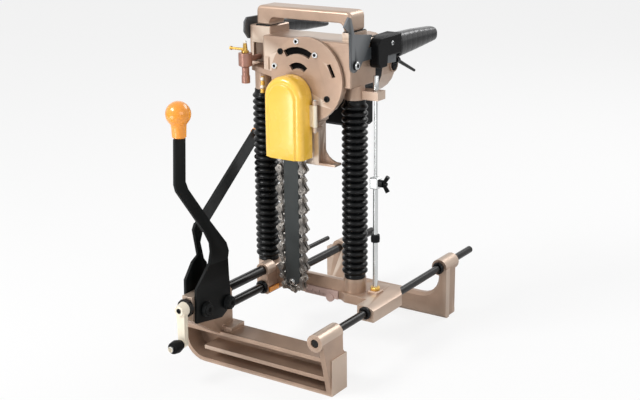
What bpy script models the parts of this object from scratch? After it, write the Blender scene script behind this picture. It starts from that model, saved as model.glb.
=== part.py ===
"""A chain mortiser: two jaws on guide rods, a carriage with two telescopic columns,
and a motor head whose saw chain plunges into the timber between the jaws.

X runs along the jaws, Y away from the operator along the guide rods, Z up.
The origin lies midway between the columns, level with the carriage's underside,
which rests on the timber.  All lengths are in metres.
"""

import math

import bmesh
import bpy
from mathutils import Matrix, Vector

for old in list(bpy.data.objects):
    bpy.data.objects.remove(old, do_unlink=True)

# Clearances that several pieces share
GAP = 0.0003            # between pieces that touch or slide on each other
OVERRUN = 0.002         # how far a cutter reaches past what it cuts
WELD = 0.00001          # joins the loose caps of a curve
EDGE = 0.0012           # small rounding of cast edges
RUNNING = 0.0015        # air between pieces that pass without touching

# Layout of the frame
COLUMN_PITCH = 0.130
COLUMN_X = COLUMN_PITCH / 2
STROKE = 0.150
ROD_RIGHT_X = 0.105
ROD_RIGHT_Z = 0.004
ROD_RIGHT_R = 0.0048
ROD_LEFT_X = -0.051
ROD_LEFT_Z = 0.0035
ROD_LEFT_R = 0.0055
ROD_TIP_Y = 0.232
SCREW_Z = 0.0255

# Jaws
JAW_BOTTOM = -0.0655
JAW_TOP = -0.021
JAW_RIGHT = 0.1165
JAW_LEFT = -0.099
JAW_FACE_Y = -0.100
JAW_DEPTH = 0.032
JAW_WALL = 0.007
JAW_RIB = 0.005
JAW_RIB_Z = -0.046
RIB_LEFT = -0.068
JAW_END_R = 0.030
JAW_END_T = 0.008
JAW_BOSS_R = 0.0105
JAW_BOSS_Y = -0.1496
JAW_BOSS_BACK = -0.106
STEP_HIGH = 0.006
STEP_LEFT = -0.070
STEP_RIGHT = -0.030
POST_WIDE = 0.0144
POST_FRONT = -0.181
POST_BACK = -0.106
POST_TOP = 0.0385
SHAFT_Y = -0.160
SHAFT_Z = 0.0185
SHAFT_R = 0.0026
SHAFT_HEAD_R = 0.0092
SHAFT_HEAD_T = 0.0045
ROD_LEFT_SEAT = 0.024

FAR_Y = 0.143
FAR_DEPTH = 0.028
FAR_WALL = 0.010
FAR_CHAMFER = 0.004
FAR_LEFT = -0.070
FAR_LEG = 0.013
FAR_BOSS_R = 0.011
FAR_BOSS_LONG = 0.036
FAR_RIM = 0.006
FAR_ARCH_TOP = -0.010
FAR_ARCH_BOTTOM = -0.036

# Levers
PLATE_T = 0.0035
LEVER_HALF = 0.0090
KNOB_R = 0.0143
KNOB_NECK_R = 0.0080
KNOB_LONG = 0.0265
LOCK_OUT_X = -0.107

# Crank
CRANK_FACE_Y = -0.1965
CRANK_ARM_T = 0.0100
CRANK_STEP = 0.0025
CRANK_REACH = 0.0415
CRANK_HUB_R = 0.0060
CRANK_HUB_BACK_R = 0.0085
CRANK_END_R = 0.0048
CRANK_KNOB_R = 0.0080
CRANK_KNOB_LONG = 0.018
SCREW_FLANGE_R = 0.011
SCREW_JOURNAL_R = 0.0030
SCREW_SLEEVE_R = 0.0062
SCREW_THREAD_R = 0.0029
SCREW_TIP_Y = 0.118

# Carriage and columns
CARRIAGE_TOP = 0.0295
BLOCK_BOTTOM = -0.006
BLOCK_LEFT = -0.0605
LEFT_BOSS_R = 0.0132
BLOCK_RIGHT = -0.0435
BLOCK_FRONT = -0.034
BLOCK_BACK = 0.026
BEAM_FRONT = -0.012
BEAM_BACK = 0.014
BEAM_TOP = 0.026
BEAM_WEB = 0.007
COLLAR_FRONT = -0.041
COLLAR_BACK = 0.040
COLLAR_HALF = 0.0115
COLLAR_END = 0.026
COLLAR_FOOT = -0.0065
DECK_TOP = 0.012
DECK_FRONT = -0.0187
COLLAR_SLOPE = 0.0040
COLUMN_R = 0.0075
COLUMN_BORE = 0.0046
COLUMN_FOOT = 0.0015
COLUMN_TOP = 0.1668
HEAD_ROD_R = 0.0043
HEAD_ROD_FOOT = COLUMN_FOOT + STROKE + 2 * GAP

# Bellows and return springs
BELLOWS_R = 0.0158
BELLOWS_VALLEY = 0.0128
BELLOWS_BORE = 0.0120
BELLOWS_CUFF = 0.0045
BELLOWS_RIBS = 27
SPRING_R = 0.0104
SPRING_WIRE = 0.0008
SPRING_TURNS = 10

# Depth gauge
DEPTH_X = 0.090
DEPTH_Y = 0.0065
DEPTH_POLE_R = 0.0030
DEPTH_ROD_R = 0.0021
DEPTH_STOP_Z = 0.144
DEPTH_STOP_HIGH = 0.014
DEPTH_STOP_WIDE = 0.011

# Head
HEAD_HALF = 0.077
HEAD_FRONT = -0.028
HEAD_BACK = 0.028
HEAD_TOP = 0.321
HEAD_FOOT = 0.251
HOUSING_R = 0.0120
CASE_X = 0.018
CASE_Z = 0.275
CASE_R = 0.0475
CASE_WALL = 0.005
SPINDLE_Z = 0.253
GEAR_R = 0.0212
PINION_R = 0.0068
COVER_R = 0.050
COVER_T = 0.004
HANDLE_FRONT = -0.012
HANDLE_BACK = 0.020
HANDLE_SHY = 0.0098
HANDLE_HALF = HEAD_HALF - HANDLE_SHY
HANDLE_TOP = 0.354
HANDLE_FOOT = 0.330
HANDLE_BAR = 0.0135
HANDLE_POST_LEFT = 0.019
HANDLE_POST_RIGHT = 0.010
MOTOR_R = 0.038
MOTOR_FRONT = 0.0283
MOTOR_JOIN = 0.078
MOTOR_BACK = 0.120

# Grips and side plates
PLATE_OUT = 0.080
GRIP_X = 0.0795
GRIP_HALF = 0.0105
SWITCH_START = 0.012
SWITCH_TOP = 0.3215
SWITCH_BOTTOM = 0.2865

# Chain, bar and their cover
CHAIN_Y = -0.038
CHAIN_HALF = 0.0218
CHAIN_PITCH = 0.0125
CHAIN_WIDE = 0.0104
BAR_HALF = 0.0107
BAR_T = 0.005
NOSE_Z = 0.0284
NOSE_PIN_DROP = 0.0058
NOSE_PIN_R = 0.0016
NOSE_HEAD_R = 0.0042
COVER_HALF = 0.027
YELLOW_FRONT = -0.057
YELLOW_BACK = -0.0335
YELLOW_BOTTOM = 0.182
YELLOW_SHELL = 0.002
HINGE_X = 0.0335
HINGE_Y = -0.0375
HINGE_R = 0.0028
HINGE_PIN_R = 0.0012
HINGE_TOP = 0.252
HINGE_LONG = 0.037
HINGE_FOOT = HINGE_TOP - HINGE_LONG
CHUTE_HALF = 0.031
CHUTE_FOOT = 0.173
CHUTE_OUT = 0.056

# Wipers on the guide rods
WIPER_T = 0.0032
WIPER_LONG = 0.004
WIPER_STEP_share = 0.6

# Lever outlines, as places in Y and Z
CLAMP_PLATE = ((-0.178, 0.006), (-0.131, -0.002), (-0.112, 0.008), (-0.115, 0.047), (-0.116, 0.074),
               (-0.150, 0.072), (-0.176, 0.047))
CLAMP_BAR = ((-0.151, 0.070), (-0.147, 0.085), (-0.148, 0.096), (-0.1565, 0.1106), (-0.203, 0.1713),
             (-0.2055, 0.180), (-0.2022, 0.231), (-0.1847, 0.231), (-0.1877, 0.180), (-0.1835, 0.170),
             (-0.1466, 0.1224), (-0.1184, 0.0887), (-0.1145, 0.0775), (-0.117, 0.068))
CLAMP_END = (-0.1935, 0.231)
LOCK_PLATE = ((-0.174, 0.010), (-0.140, 0.004), (-0.132, 0.022), (-0.1331, 0.0647), (-0.1383, 0.0713),
              (-0.1435, 0.093), (-0.1392, 0.1026), (-0.1503, 0.1179), (-0.1544, 0.1105), (-0.1481, 0.078),
              (-0.1586, 0.0724), (-0.1725, 0.0545))
LOCK_ELBOW = (-0.1470, 0.1082)
LOCK_END = (0.033, 0.1795)
PIN_Y = -0.119
PIN_Z = 0.0135
PIN_R = 0.003

# Crank knob and lead screw
CRANK_PIN_R = 0.0022
KNOB_WAIST_share = 0.7
KNOB_SHOULDER_share = 0.85
FEED_TRAVEL = 0.015
SCREW_BOSS_R = 0.0093
SCREW_BOSS_LONG = 0.017

# Details of the carriage and its plates
BOSS_R = 0.0140
PAD_HALF = 0.0075
DEPTH_PAD_TOP = 0.0150
DEPTH_FOOT = 0.0020
SIGHT_LOW = -0.0030
SIGHT_HIGH = 0.0030
SIGHT_T = 0.0020
SCALE_RIGHT = 0.049
SCALE_HIGH = 0.011

# Details of the rods, bellows and springs
HEAD_ROD_TOP = HEAD_TOP
BELLOWS_SIDES = 12
SPRING_POINTS = 6

# Depth stop's screw and the lug it stops
WING_R = 0.0022
WING_LONG = 0.010
WING_SPAN = 0.0095
WING_TIP_share = 1.3
LUG_HALF = 0.008
LUG_TOP = 0.2625
DEPTH_NUT_HIGH = 0.0175
DEPTH_TOP = LUG_TOP + DEPTH_NUT_HIGH
DEPTH_CAP_R = 0.0033

# Head details
CASE_FLOOR = 0.020
SPINDLE_R = 0.0045
SPINDLE_CASE_R = 0.0265
PAD_LEFT = -0.018
PAD_RIGHT = 0.028
PAD_HIGH = 0.007
FLANGE_BAR = ((-0.064, 0.284), (-0.064, 0.278), (-0.020, 0.2695), (-0.020, 0.2755))
LEFT_FRONT = -0.013
FRONT_LEFT_X = -0.047
SLOT_X = 0.0065
SLOT_R = 0.033
SLOT_HALF = 0.0042
BEARING_R = 0.0090
BEARING_LONG = 0.009
LEFT_HIGH = 0.043
CASE_DEEP_R = 0.0360
HEAD_FLOOR = 0.268
RIB_X = -0.043
RIB_WIDE = 0.005
RIB_FOOT = 0.281
RIB_TOP = 0.296
RECESS_LEFT = -0.0715
RECESS_RIGHT = -0.0575
RECESS_FOOT = 0.2855
RECESS_TOP = 0.3090
RECESS_DEEP = 0.0035

# Side plates
SIDE_BOLTS = ((-0.0085, 0.3262, 0.0017), (-0.0235, 0.2955, 0.0025))   # left and right: Y, Z, radius
SIDE_BOLT_DEEP = 0.010
SIDE_HEAD_R = 0.0052
SIDE_HEAD_T = 0.0032
SIDE_T = 0.0027
TONGUE_END = 0.036
TONGUE_HALF = 0.007
SIDE_OUTLINE = ((-0.036, 0.352), (-0.031, 0.350), (-0.024, 0.331), (0.014, 0.326), (0.008, 0.315),
                (-0.001, 0.303), (-0.014, 0.2895))
SIDE_TAIL = ((-0.032, 0.300), (-0.033, 0.333), (-0.045, 0.342))
LEFT_OUTLINE = ((-0.021, 0.334), (-0.016, 0.339), (0.012, 0.3385), (0.040, 0.330), (0.062, 0.328), (0.062, 0.316),
                (0.040, 0.315), (0.006, 0.311), (-0.014, 0.313), (-0.022, 0.322))

# Gear cover details
SCREW_HEAD_T = 0.0012
SCREW_HEAD_R = 0.0034
COVER_SCREWS = ((0.005, 0.3185), (-0.018, 0.305), (0.031, 0.3045), (0.047, 0.2545), (-0.0265, 0.287))
KNUCKLE = 0.005
OBLONG_OUTLINE = ((0.0295, 0.0195), (0.0340, 0.0210), (0.0410, 0.0065), (0.0365, 0.0050))   # from the case's centre
LUG_INSET_share = 0.5
BOLT_HEAD_share = 2.1
TONGUE_Z = 0.3045

# Grips, switch housing and trigger
GRIP_SIDES = 14
GRIP_POWER = 0.75
GRIP_TIP_share = 0.55
GRIP_TIP_LONG = 0.006
RIGHT_GRIP = ((0.0665, 0.2915, 0.3215), (0.110, 0.2950, 0.3205), (0.153, 0.2995, 0.3180))
LEFT_GRIP = ((0.048, 0.3130, 0.3325), (0.078, 0.3095, 0.3320), (0.112, 0.3075, 0.3245), (0.148, 0.3070, 0.3145))
SWITCH_CHAMFER = 0.006
SWITCH_HALF = 0.0105
SWITCH_STEP_Y = 0.0335
SWITCH_STEP_Z = 0.2985
TRIGGER_START = 0.042
TRIGGER_END = 0.0635
TRIGGER_HALF = 0.0050
TRIGGER_TOP = 0.3035
TRIGGER_BOTTOM = 0.2885
TRIGGER_TRAVEL = 0.004
GUARD_R = 0.0024
GUARD_START = 0.070
GUARD_SEAT = 0.006
GUARD_END_Y = 0.116
GUARD_END_Z = 0.2680
GUARD_TIP_share = 0.75

# Motor
BARREL_BORE = 0.0335
COVER_FLAT_R = 0.0225
CORE_R = 0.0215
MOTOR_SHAFT_R = 0.004
BRUSH_Y = 0.1055
BRUSH_R = 0.0076
BRUSH_BOSS_R = 0.0094
BOX_LEFT = -0.012
BOX_RIGHT = 0.050
BOX_FRONT = 0.036
BOX_BACK = 0.069
BOX_DROP = 0.069
BOX_FOOT = CASE_Z - BOX_DROP
RIB_TURN = 16
CORE_FRONT = 0.048
CORE_BACK = 0.084
DOME_share = 0.86
FAN_R = 0.030
COMMUTATOR_R = 0.012

# Gears and sprocket
GEAR_FRONT = -0.020
GEAR_BACK = -0.011
GEAR_TEETH = 25
GEAR_TOOTH = 0.0016
SPROCKET_TEETH = 8
SPROCKET_R = 0.0100
SPROCKET_HALF = 0.0022
SPROCKET_FRONT = CHAIN_Y - SPROCKET_HALF
SPROCKET_BACK = CHAIN_Y + SPROCKET_HALF
SPINDLE_OUT = 0.0065
SPINDLE_TIP = CHAIN_Y - SPINDLE_OUT
TOOTH_shares = ((0.0, 0.0), (0.3, 1.0), (0.6, 1.0))

# Chip chute behind the chain
CHUTE_T = 0.003
CHUTE_BACK = -0.0145
CHUTE_TOP = CASE_Z - COVER_R + EDGE - GAP
CHUTE_FRONT = -0.031

# Guide bar and saw chain
MOUNT_HALF = 0.007
MOUNT_LOW = 0.188
MOUNT_HIGH = 0.222
BAR_SHY = 0.0145
BAR_TOP = SPINDLE_Z - BAR_SHY
LINK_HALF = 0.0040
PIN_OUT = 0.0047
PIN_LINE = BAR_HALF + PIN_OUT
CHAIN_PIN_R = 0.0018
PLY = 0.0024
PLY_GAP = 0.0002
LINK_shares = ((-0.28, -0.70), (1.28, -0.70), (1.34, 0.35), (0.56, 0.62), (0.16, 1.60), (-0.34, 0.55))

# Chain cover's raised panel
PANEL_IN = 0.0075
PANEL_OUT = 0.0022
BEVEL_share = 0.6

# Oiler on the left of the head
OILER_X = -0.0655
OILER_Y = -0.038
CUP_R = 0.0084
CUP_LOW = 0.2825
CUP_TOP = 0.3000
STEM_LOW = 0.2725
STEM_HALF = 0.0045
NUT_LOW = 0.2635
NUT_HALF = 0.0052
VALVE_TOP = 0.3115
VALVE_HALF = 0.0034
ARM_END = -0.0865
ARM_Z = 0.3040
PIPE_Z = 0.2915
PIPE_R = 0.0036
ARM_TIP_share = 0.7

# Sides of round pieces
ROUND = 16              # sides of a middling round piece
FINE = 24               # sides of a large round piece
SMALL = 12              # sides of a small round piece
FEW = 8                 # sides of a thin pin
HEX = 6                 # sides of a nut
SQUARE = 4              # sides of a chain rivet


def new_collection(name):
    made = bpy.data.collections.new(name)
    bpy.context.scene.collection.children.link(made)
    return made


PARTS = new_collection("chain_mortiser")
CUTTERS = new_collection("cutters")
CUTTERS.hide_render = True


def material(name, colour, roughness, metallic=0.0):
    made = bpy.data.materials.new(name)
    made.use_nodes = True
    shader = made.node_tree.nodes["Principled BSDF"]
    shader.inputs["Base Color"].default_value = (*colour, 1.0)
    shader.inputs["Roughness"].default_value = roughness
    shader.inputs["Metallic"].default_value = metallic
    made.diffuse_color = (*colour, 1.0)
    return made


BRONZE = material("bronze_paint", (0.40, 0.28, 0.20), 0.42, 0.35)
BLACK = material("black_plastic", (0.015, 0.015, 0.016), 0.45)
RUBBER = material("black_rubber", (0.012, 0.012, 0.013), 0.6)
BLACK_STEEL = material("black_steel", (0.02, 0.02, 0.022), 0.3, 0.6)
GREY = material("grey_paint", (0.12, 0.13, 0.15), 0.45, 0.2)
STEEL = material("steel", (0.55, 0.55, 0.56), 0.3, 1.0)
CHAIN_STEEL = material("chain_steel", (0.20, 0.19, 0.18), 0.45, 0.9)
BAR_STEEL = material("bar_steel", (0.10, 0.10, 0.105), 0.5, 0.6)
YELLOW = material("yellow_plastic", (0.95, 0.55, 0.03), 0.25)
ORANGE = material("orange_plastic", (0.95, 0.32, 0.02), 0.3)
CREAM = material("cream_zinc", (0.75, 0.68, 0.58), 0.35, 0.4)
BRASS = material("brass", (0.70, 0.52, 0.22), 0.3, 1.0)
COPPER = material("armature_copper", (0.45, 0.25, 0.15), 0.4, 0.8)


def refresh():
    bpy.context.view_layer.update()
    return bpy.context.evaluated_depsgraph_get()


def baked(obj, weld=False):
    """The object with its modifiers applied, its transform in the mesh and its faces out."""
    graph = refresh()
    mesh = bpy.data.meshes.new_from_object(obj.evaluated_get(graph), depsgraph=graph)
    mesh.transform(obj.matrix_world)
    name = obj.name
    bpy.data.objects.remove(obj, do_unlink=True)
    if weld:
        work = bmesh.new()
        work.from_mesh(mesh)
        bmesh.ops.remove_doubles(work, verts=work.verts, dist=WELD)
        bmesh.ops.recalc_face_normals(work, faces=work.faces)
        if work.calc_volume(signed=True) < 0:
            bmesh.ops.reverse_faces(work, faces=work.faces)
        work.to_mesh(mesh)
        work.free()
    made = bpy.data.objects.new(name, mesh)
    CUTTERS.objects.link(made)
    return made


def from_bmesh(work, name="solid"):
    mesh = bpy.data.meshes.new(name)
    work.to_mesh(mesh)
    work.free()
    made = bpy.data.objects.new(name, mesh)
    CUTTERS.objects.link(made)
    return made


def rounded(obj, width, segments=1):
    """A bevel on the sharp edges of a solid."""
    bevel = obj.modifiers.new("edges", "BEVEL")
    bevel.width = width
    bevel.segments = segments
    bevel.limit_method = "ANGLE"
    bevel.angle_limit = math.radians(40)
    return baked(obj)


def block(low, high, edge=0.0):
    """A box between two corners."""
    low, high = Vector(low), Vector(high)
    size = high - low
    work = bmesh.new()
    bmesh.ops.create_cube(work, size=1.0)
    bmesh.ops.scale(work, vec=size, verts=work.verts)
    bmesh.ops.translate(work, vec=(low + high) / 2, verts=work.verts)
    made = from_bmesh(work)
    return rounded(made, edge) if edge else made


def rod(start, end, radius, sides=ROUND, end_radius=None):
    """A cylinder or cone between two points."""
    start, end = Vector(start), Vector(end)
    span = end - start
    work = bmesh.new()
    bmesh.ops.create_cone(work, cap_ends=True, segments=sides, radius1=radius,
                          radius2=radius if end_radius is None else end_radius, depth=span.length)
    turn = span.to_track_quat("Z", "Y").to_matrix().to_4x4()
    bmesh.ops.transform(work, matrix=Matrix.Translation((start + end) / 2) @ turn, verts=work.verts)
    return from_bmesh(work)


PLACING = {
    "X": lambda u, v, w: (w, u, v),
    "Y": lambda u, v, w: (u, w, v),
    "Z": lambda u, v, w: (u, v, w),
}


def slab(outline, axis, low, high, edge=0.0):
    """A flat outline, given in the two other axes in order, made solid from low to high."""
    corners = [point for i, point in enumerate(outline) if (Vector(point) - Vector(outline[i - 1])).length > WELD]
    made = loft([[PLACING[axis](u, v, w) for u, v in corners] for w in (low, high)])
    return rounded(made, edge) if edge else made


def arc(centre, radius, start, end, count):
    """Points along an arc, angles in degrees."""
    turns = [math.radians(start + (end - start) * i / count) for i in range(count + 1)]
    return [(centre[0] + radius * math.cos(t), centre[1] + radius * math.sin(t)) for t in turns]


def turned(profile, base, axis="Z", sides=ROUND):
    """A closed profile of (radius, height) turned about an axis through base."""
    work = bmesh.new()
    points = [work.verts.new((radius, 0, height)) for radius, height in profile]
    for first, second in zip(points, points[1:]):
        work.edges.new((first, second))
    if min(radius for radius, _ in profile) > 0:
        work.edges.new((points[-1], points[0]))
    made = from_bmesh(work)
    screw = made.modifiers.new("turn", "SCREW")
    screw.steps = sides
    screw.render_steps = sides
    screw.use_merge_vertices = True
    screw.merge_threshold = WELD
    turn = {"X": Matrix.Rotation(math.pi / 2, 4, "Y"), "Y": Matrix.Rotation(-math.pi / 2, 4, "X"),
            "Z": Matrix.Identity(4)}[axis]
    made.matrix_world = Matrix.Translation(base) @ turn
    return baked(made, weld=True)


def tube(points, radius, fineness=2):
    """A round bar that follows a list of points."""
    curve = bpy.data.curves.new("tube", "CURVE")
    curve.dimensions = "3D"
    curve.bevel_depth = radius
    curve.bevel_resolution = fineness
    curve.use_fill_caps = True
    spline = curve.splines.new("POLY")
    spline.points.add(len(points) - 1)
    for point, place in zip(spline.points, points):
        point.co = (*place, 1)
    made = bpy.data.objects.new("tube", curve)
    CUTTERS.objects.link(made)
    return baked(made, weld=True)


def boolean(target, tools, operation):
    for tool in tools:
        step = target.modifiers.new(operation.lower(), "BOOLEAN")
        step.operation = operation
        step.solver = "EXACT"
        step.object = tool
    made = baked(target)
    for tool in tools:
        bpy.data.objects.remove(tool, do_unlink=True)
    return made


def joined(target, *pieces):
    return boolean(target, pieces, "UNION")


def cut(target, *tools):
    return boolean(target, tools, "DIFFERENCE")


def loft(sections):
    """A closed solid through rings of points, one after another."""
    work = bmesh.new()
    rings = [[work.verts.new(point) for point in ring] for ring in sections]
    for first, second in zip(rings, rings[1:]):
        for i in range(len(first)):
            j = (i + 1) % len(first)
            work.faces.new((first[i], first[j], second[j], second[i]))
    work.faces.new(list(reversed(rings[0])))
    work.faces.new(rings[-1])
    bmesh.ops.recalc_face_normals(work, faces=work.faces)
    if work.calc_volume(signed=True) < 0:
        bmesh.ops.reverse_faces(work, faces=work.faces)
    return from_bmesh(work)


def keep(obj, name, finish, pivot=(0, 0, 0)):
    """Name a finished solid, put its origin on its joint and move it to the parts."""
    obj.data.transform(Matrix.Translation(-Vector(pivot)))
    obj.location = pivot
    obj.name = name
    obj.data.name = name
    obj.data.materials.clear()
    obj.data.materials.append(finish)
    obj.data.shade_smooth()
    obj.data.set_sharp_from_angle(angle=math.radians(35))
    CUTTERS.objects.unlink(obj)
    PARTS.objects.link(obj)
    return obj


def along_y(x, z, start, end, radius, sides=ROUND):
    return rod((x, start, z), (x, end, z), radius, sides)


def build_near_jaw():
    """The fixed jaw: a ribbed channel, a buttress for the right rod and a post at the left."""
    front = JAW_FACE_Y - JAW_DEPTH
    corner = (JAW_LEFT + JAW_END_R, JAW_BOTTOM + JAW_END_R)
    outline = arc(corner, JAW_END_R, 180, 270, 7) + [(JAW_RIGHT, JAW_BOTTOM), (JAW_RIGHT, JAW_TOP),
                                                     (JAW_LEFT, JAW_TOP)]
    body = slab(outline, "Y", front, JAW_FACE_Y)
    inner = JAW_RIGHT - JAW_END_T
    pocket_back = JAW_FACE_Y - JAW_WALL
    low, high = JAW_BOTTOM + JAW_RIB, JAW_TOP - JAW_RIB
    pocket = arc(corner, JAW_END_R - JAW_RIB, 180, 270, 7)
    pocket += [(inner, low), (inner, JAW_RIB_Z - JAW_RIB / 2), (RIB_LEFT, JAW_RIB_Z - JAW_RIB / 2),
               (RIB_LEFT, JAW_RIB_Z + JAW_RIB / 2), (inner, JAW_RIB_Z + JAW_RIB / 2), (inner, high),
               (JAW_LEFT + JAW_RIB, high)]
    body = cut(body, slab(pocket, "Y", front - OVERRUN, pocket_back))

    boss = along_y(ROD_RIGHT_X, ROD_RIGHT_Z, JAW_BOSS_Y, JAW_BOSS_BACK, JAW_BOSS_R)
    buttress = slab([(front + EDGE, JAW_BOTTOM + EDGE), (JAW_FACE_Y - EDGE, JAW_BOTTOM + EDGE),
                     (JAW_FACE_Y - EDGE, JAW_TOP - EDGE), (JAW_BOSS_BACK, JAW_TOP + JAW_RIB),
                     (JAW_BOSS_BACK - EDGE, ROD_RIGHT_Z), (JAW_BOSS_Y + EDGE, ROD_RIGHT_Z)],
                    "X", inner, JAW_RIGHT - EDGE)
    step = block((STEP_LEFT, front + JAW_RIB, JAW_TOP - JAW_RIB / 2),
                 (STEP_RIGHT, JAW_FACE_Y - EDGE, JAW_TOP + STEP_HIGH))
    half = POST_WIDE / 2
    post = slab([(POST_FRONT, SHAFT_Z - SHAFT_HEAD_R), (front, JAW_TOP - JAW_RIB / 2),
                 (POST_BACK, JAW_TOP - JAW_RIB / 2), (POST_BACK, SCREW_Z),
                 (POST_BACK - SCREW_FLANGE_R, POST_TOP), (POST_FRONT, POST_TOP)],
                "X", ROD_LEFT_X - half, ROD_LEFT_X + half)
    body = joined(body, boss, buttress, step, post)

    body = cut(
        body,
        along_y(ROD_RIGHT_X, ROD_RIGHT_Z, JAW_BOSS_Y - OVERRUN, JAW_BOSS_BACK + OVERRUN, ROD_RIGHT_R + GAP),
        along_y(ROD_LEFT_X, ROD_LEFT_Z, POST_BACK - ROD_LEFT_SEAT - GAP, POST_BACK + OVERRUN, ROD_LEFT_R + GAP),
        along_y(ROD_LEFT_X, SCREW_Z, POST_FRONT - OVERRUN, POST_BACK + OVERRUN, SCREW_JOURNAL_R + GAP),
        rod((ROD_LEFT_X - POST_WIDE, SHAFT_Y, SHAFT_Z), (ROD_LEFT_X + POST_WIDE, SHAFT_Y, SHAFT_Z),
            SHAFT_R + GAP, SMALL))
    keep(body, "near_jaw", BRONZE)


def build_rods():
    keep(along_y(ROD_RIGHT_X, ROD_RIGHT_Z, JAW_BOSS_Y + EDGE, ROD_TIP_Y, ROD_RIGHT_R), "guide_rod_right",
         BLACK_STEEL)
    keep(along_y(ROD_LEFT_X, ROD_LEFT_Z, POST_BACK - ROD_LEFT_SEAT, ROD_TIP_Y, ROD_LEFT_R), "guide_rod_left",
         BLACK_STEEL)


def build_far_jaw():
    """The sliding jaw: a face with a leg and boss at each end and an arched web between."""
    back = FAR_Y + FAR_DEPTH
    arch = (FAR_ARCH_BOTTOM - FAR_ARCH_TOP)
    right_leg = JAW_RIGHT - FAR_LEG
    left_leg = ROD_LEFT_X + FAR_BOSS_R - EDGE
    curve = -arch

    right_top = ROD_RIGHT_Z - EDGE / 2
    left_top = ROD_LEFT_Z - EDGE / 2

    def outline(inset):
        points = [(FAR_LEFT, JAW_BOTTOM + inset), (JAW_RIGHT, JAW_BOTTOM + inset), (JAW_RIGHT, right_top),
                  (right_leg + inset, right_top)]
        points += arc((right_leg - curve, FAR_ARCH_TOP), curve + inset, 0, -90, 6)
        points += arc((left_leg + curve, FAR_ARCH_TOP), curve + inset, 270, 180, 6)
        return points + [(left_leg - inset, left_top), (FAR_LEFT, left_top)]

    chamfered = FAR_Y + FAR_CHAMFER
    body = loft([[(x, y, z) for x, z in outline(inset)]
                 for y, inset in ((FAR_Y, FAR_CHAMFER), (chamfered, 0), (FAR_Y + FAR_WALL, 0))])
    foot = block((FAR_LEFT + EDGE, chamfered + EDGE, JAW_BOTTOM + EDGE),
                 (JAW_RIGHT - EDGE, back, JAW_BOTTOM + FAR_RIM + EDGE))
    rim_back, rim_top = back - EDGE / 2, ROD_LEFT_Z - EDGE
    rim = [(chamfered + EDGE * 2, JAW_BOTTOM + EDGE * 2), (rim_back, JAW_BOTTOM + EDGE * 2), (rim_back, rim_top),
           (chamfered + EDGE * 2, rim_top)]
    right = slab(rim, "X", JAW_RIGHT - FAR_RIM, JAW_RIGHT - EDGE)
    left = slab(rim, "X", FAR_LEFT + EDGE, FAR_LEFT + FAR_RIM)
    end = FAR_Y + FAR_BOSS_LONG
    start = FAR_Y + EDGE
    boss_right = along_y(ROD_RIGHT_X, ROD_RIGHT_Z, start, end, FAR_BOSS_R)
    boss_left = along_y(ROD_LEFT_X, ROD_LEFT_Z, start, end, FAR_BOSS_R)
    body = joined(body, foot, right, left, boss_right, boss_left)
    body = cut(
        body,
        along_y(ROD_RIGHT_X, ROD_RIGHT_Z, FAR_Y - OVERRUN, end + OVERRUN, ROD_RIGHT_R + GAP),
        along_y(ROD_LEFT_X, ROD_LEFT_Z, FAR_Y - OVERRUN, end + OVERRUN, ROD_LEFT_R + GAP))
    keep(body, "far_jaw", BRONZE)
    keep(wiper(ROD_RIGHT_X, ROD_RIGHT_Z, FAR_Y, ROD_RIGHT_R), "far_jaw_wiper", RUBBER)


def wiper(x, z, face, radius):
    """A rubber ring that wipes a rod where it enters a boss, in front of the face."""
    outer = radius + WIPER_T
    profile = [(radius + GAP, 0), (outer, 0), (outer, -WIPER_LONG * WIPER_STEP_share),
               (radius + WIPER_T / 2, -WIPER_LONG), (radius + GAP, -WIPER_LONG)]
    return turned(profile, (x, face - GAP, z), "Y")


def knob(x, y, z, lean):
    """A ball knob with a conical neck; the neck points down the lever from the ball's centre."""
    lean = Vector(lean).normalized()
    centre = Vector((x, y, z))
    work = bmesh.new()
    bmesh.ops.create_uvsphere(work, u_segments=SMALL, v_segments=SMALL // 3 * 2, radius=KNOB_R)
    turn = lean.to_track_quat("Z", "Y").to_matrix().to_4x4()
    bmesh.ops.transform(work, matrix=Matrix.Translation(centre) @ turn, verts=work.verts)
    ball = from_bmesh(work)
    neck = rod(centre, centre + lean * KNOB_LONG, KNOB_NECK_R + EDGE, ROUND, KNOB_NECK_R)
    return joined(ball, neck)


def build_clamp_lever():
    inner = ROD_LEFT_X + POST_WIDE / 2 + GAP
    plane = inner + PLATE_T / 2
    plate = slab(list(CLAMP_PLATE), "X", inner, inner + PLATE_T)
    bar = slab(list(CLAMP_BAR), "X", inner + EDGE / 2, inner + PLATE_T + EDGE / 2)
    lever = joined(plate, bar)
    pivot = (0, SHAFT_Y, SHAFT_Z)
    bore = rod((plane - POST_WIDE, SHAFT_Y, SHAFT_Z), (plane + POST_WIDE, SHAFT_Y, SHAFT_Z), SHAFT_R + GAP, SMALL)
    pin_bore = rod((plane - POST_WIDE, PIN_Y, PIN_Z), (plane + POST_WIDE, PIN_Y, PIN_Z), PIN_R + GAP, SMALL)
    lever = cut(lever, bore, pin_bore)
    keep(lever, "clamp_lever", BLACK_STEEL, pivot)

    top = (plane + EDGE / 2, CLAMP_END[0], CLAMP_END[1] + GAP + KNOB_LONG)
    keep(knob(*top, (0, 0, -1)), "clamp_knob", ORANGE, pivot)

    pin = rod((inner + EDGE / 2, PIN_Y, PIN_Z), (inner + PLATE_T + EDGE + SHAFT_HEAD_T, PIN_Y, PIN_Z), PIN_R, SMALL)
    head = rod((inner + PLATE_T + GAP, PIN_Y, PIN_Z),
               (inner + PLATE_T + EDGE + SHAFT_HEAD_T, PIN_Y, PIN_Z), SHAFT_HEAD_R, SMALL, SHAFT_HEAD_R - EDGE)
    keep(joined(head, pin), "clamp_lever_pin", BLACK_STEEL, pivot)


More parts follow.
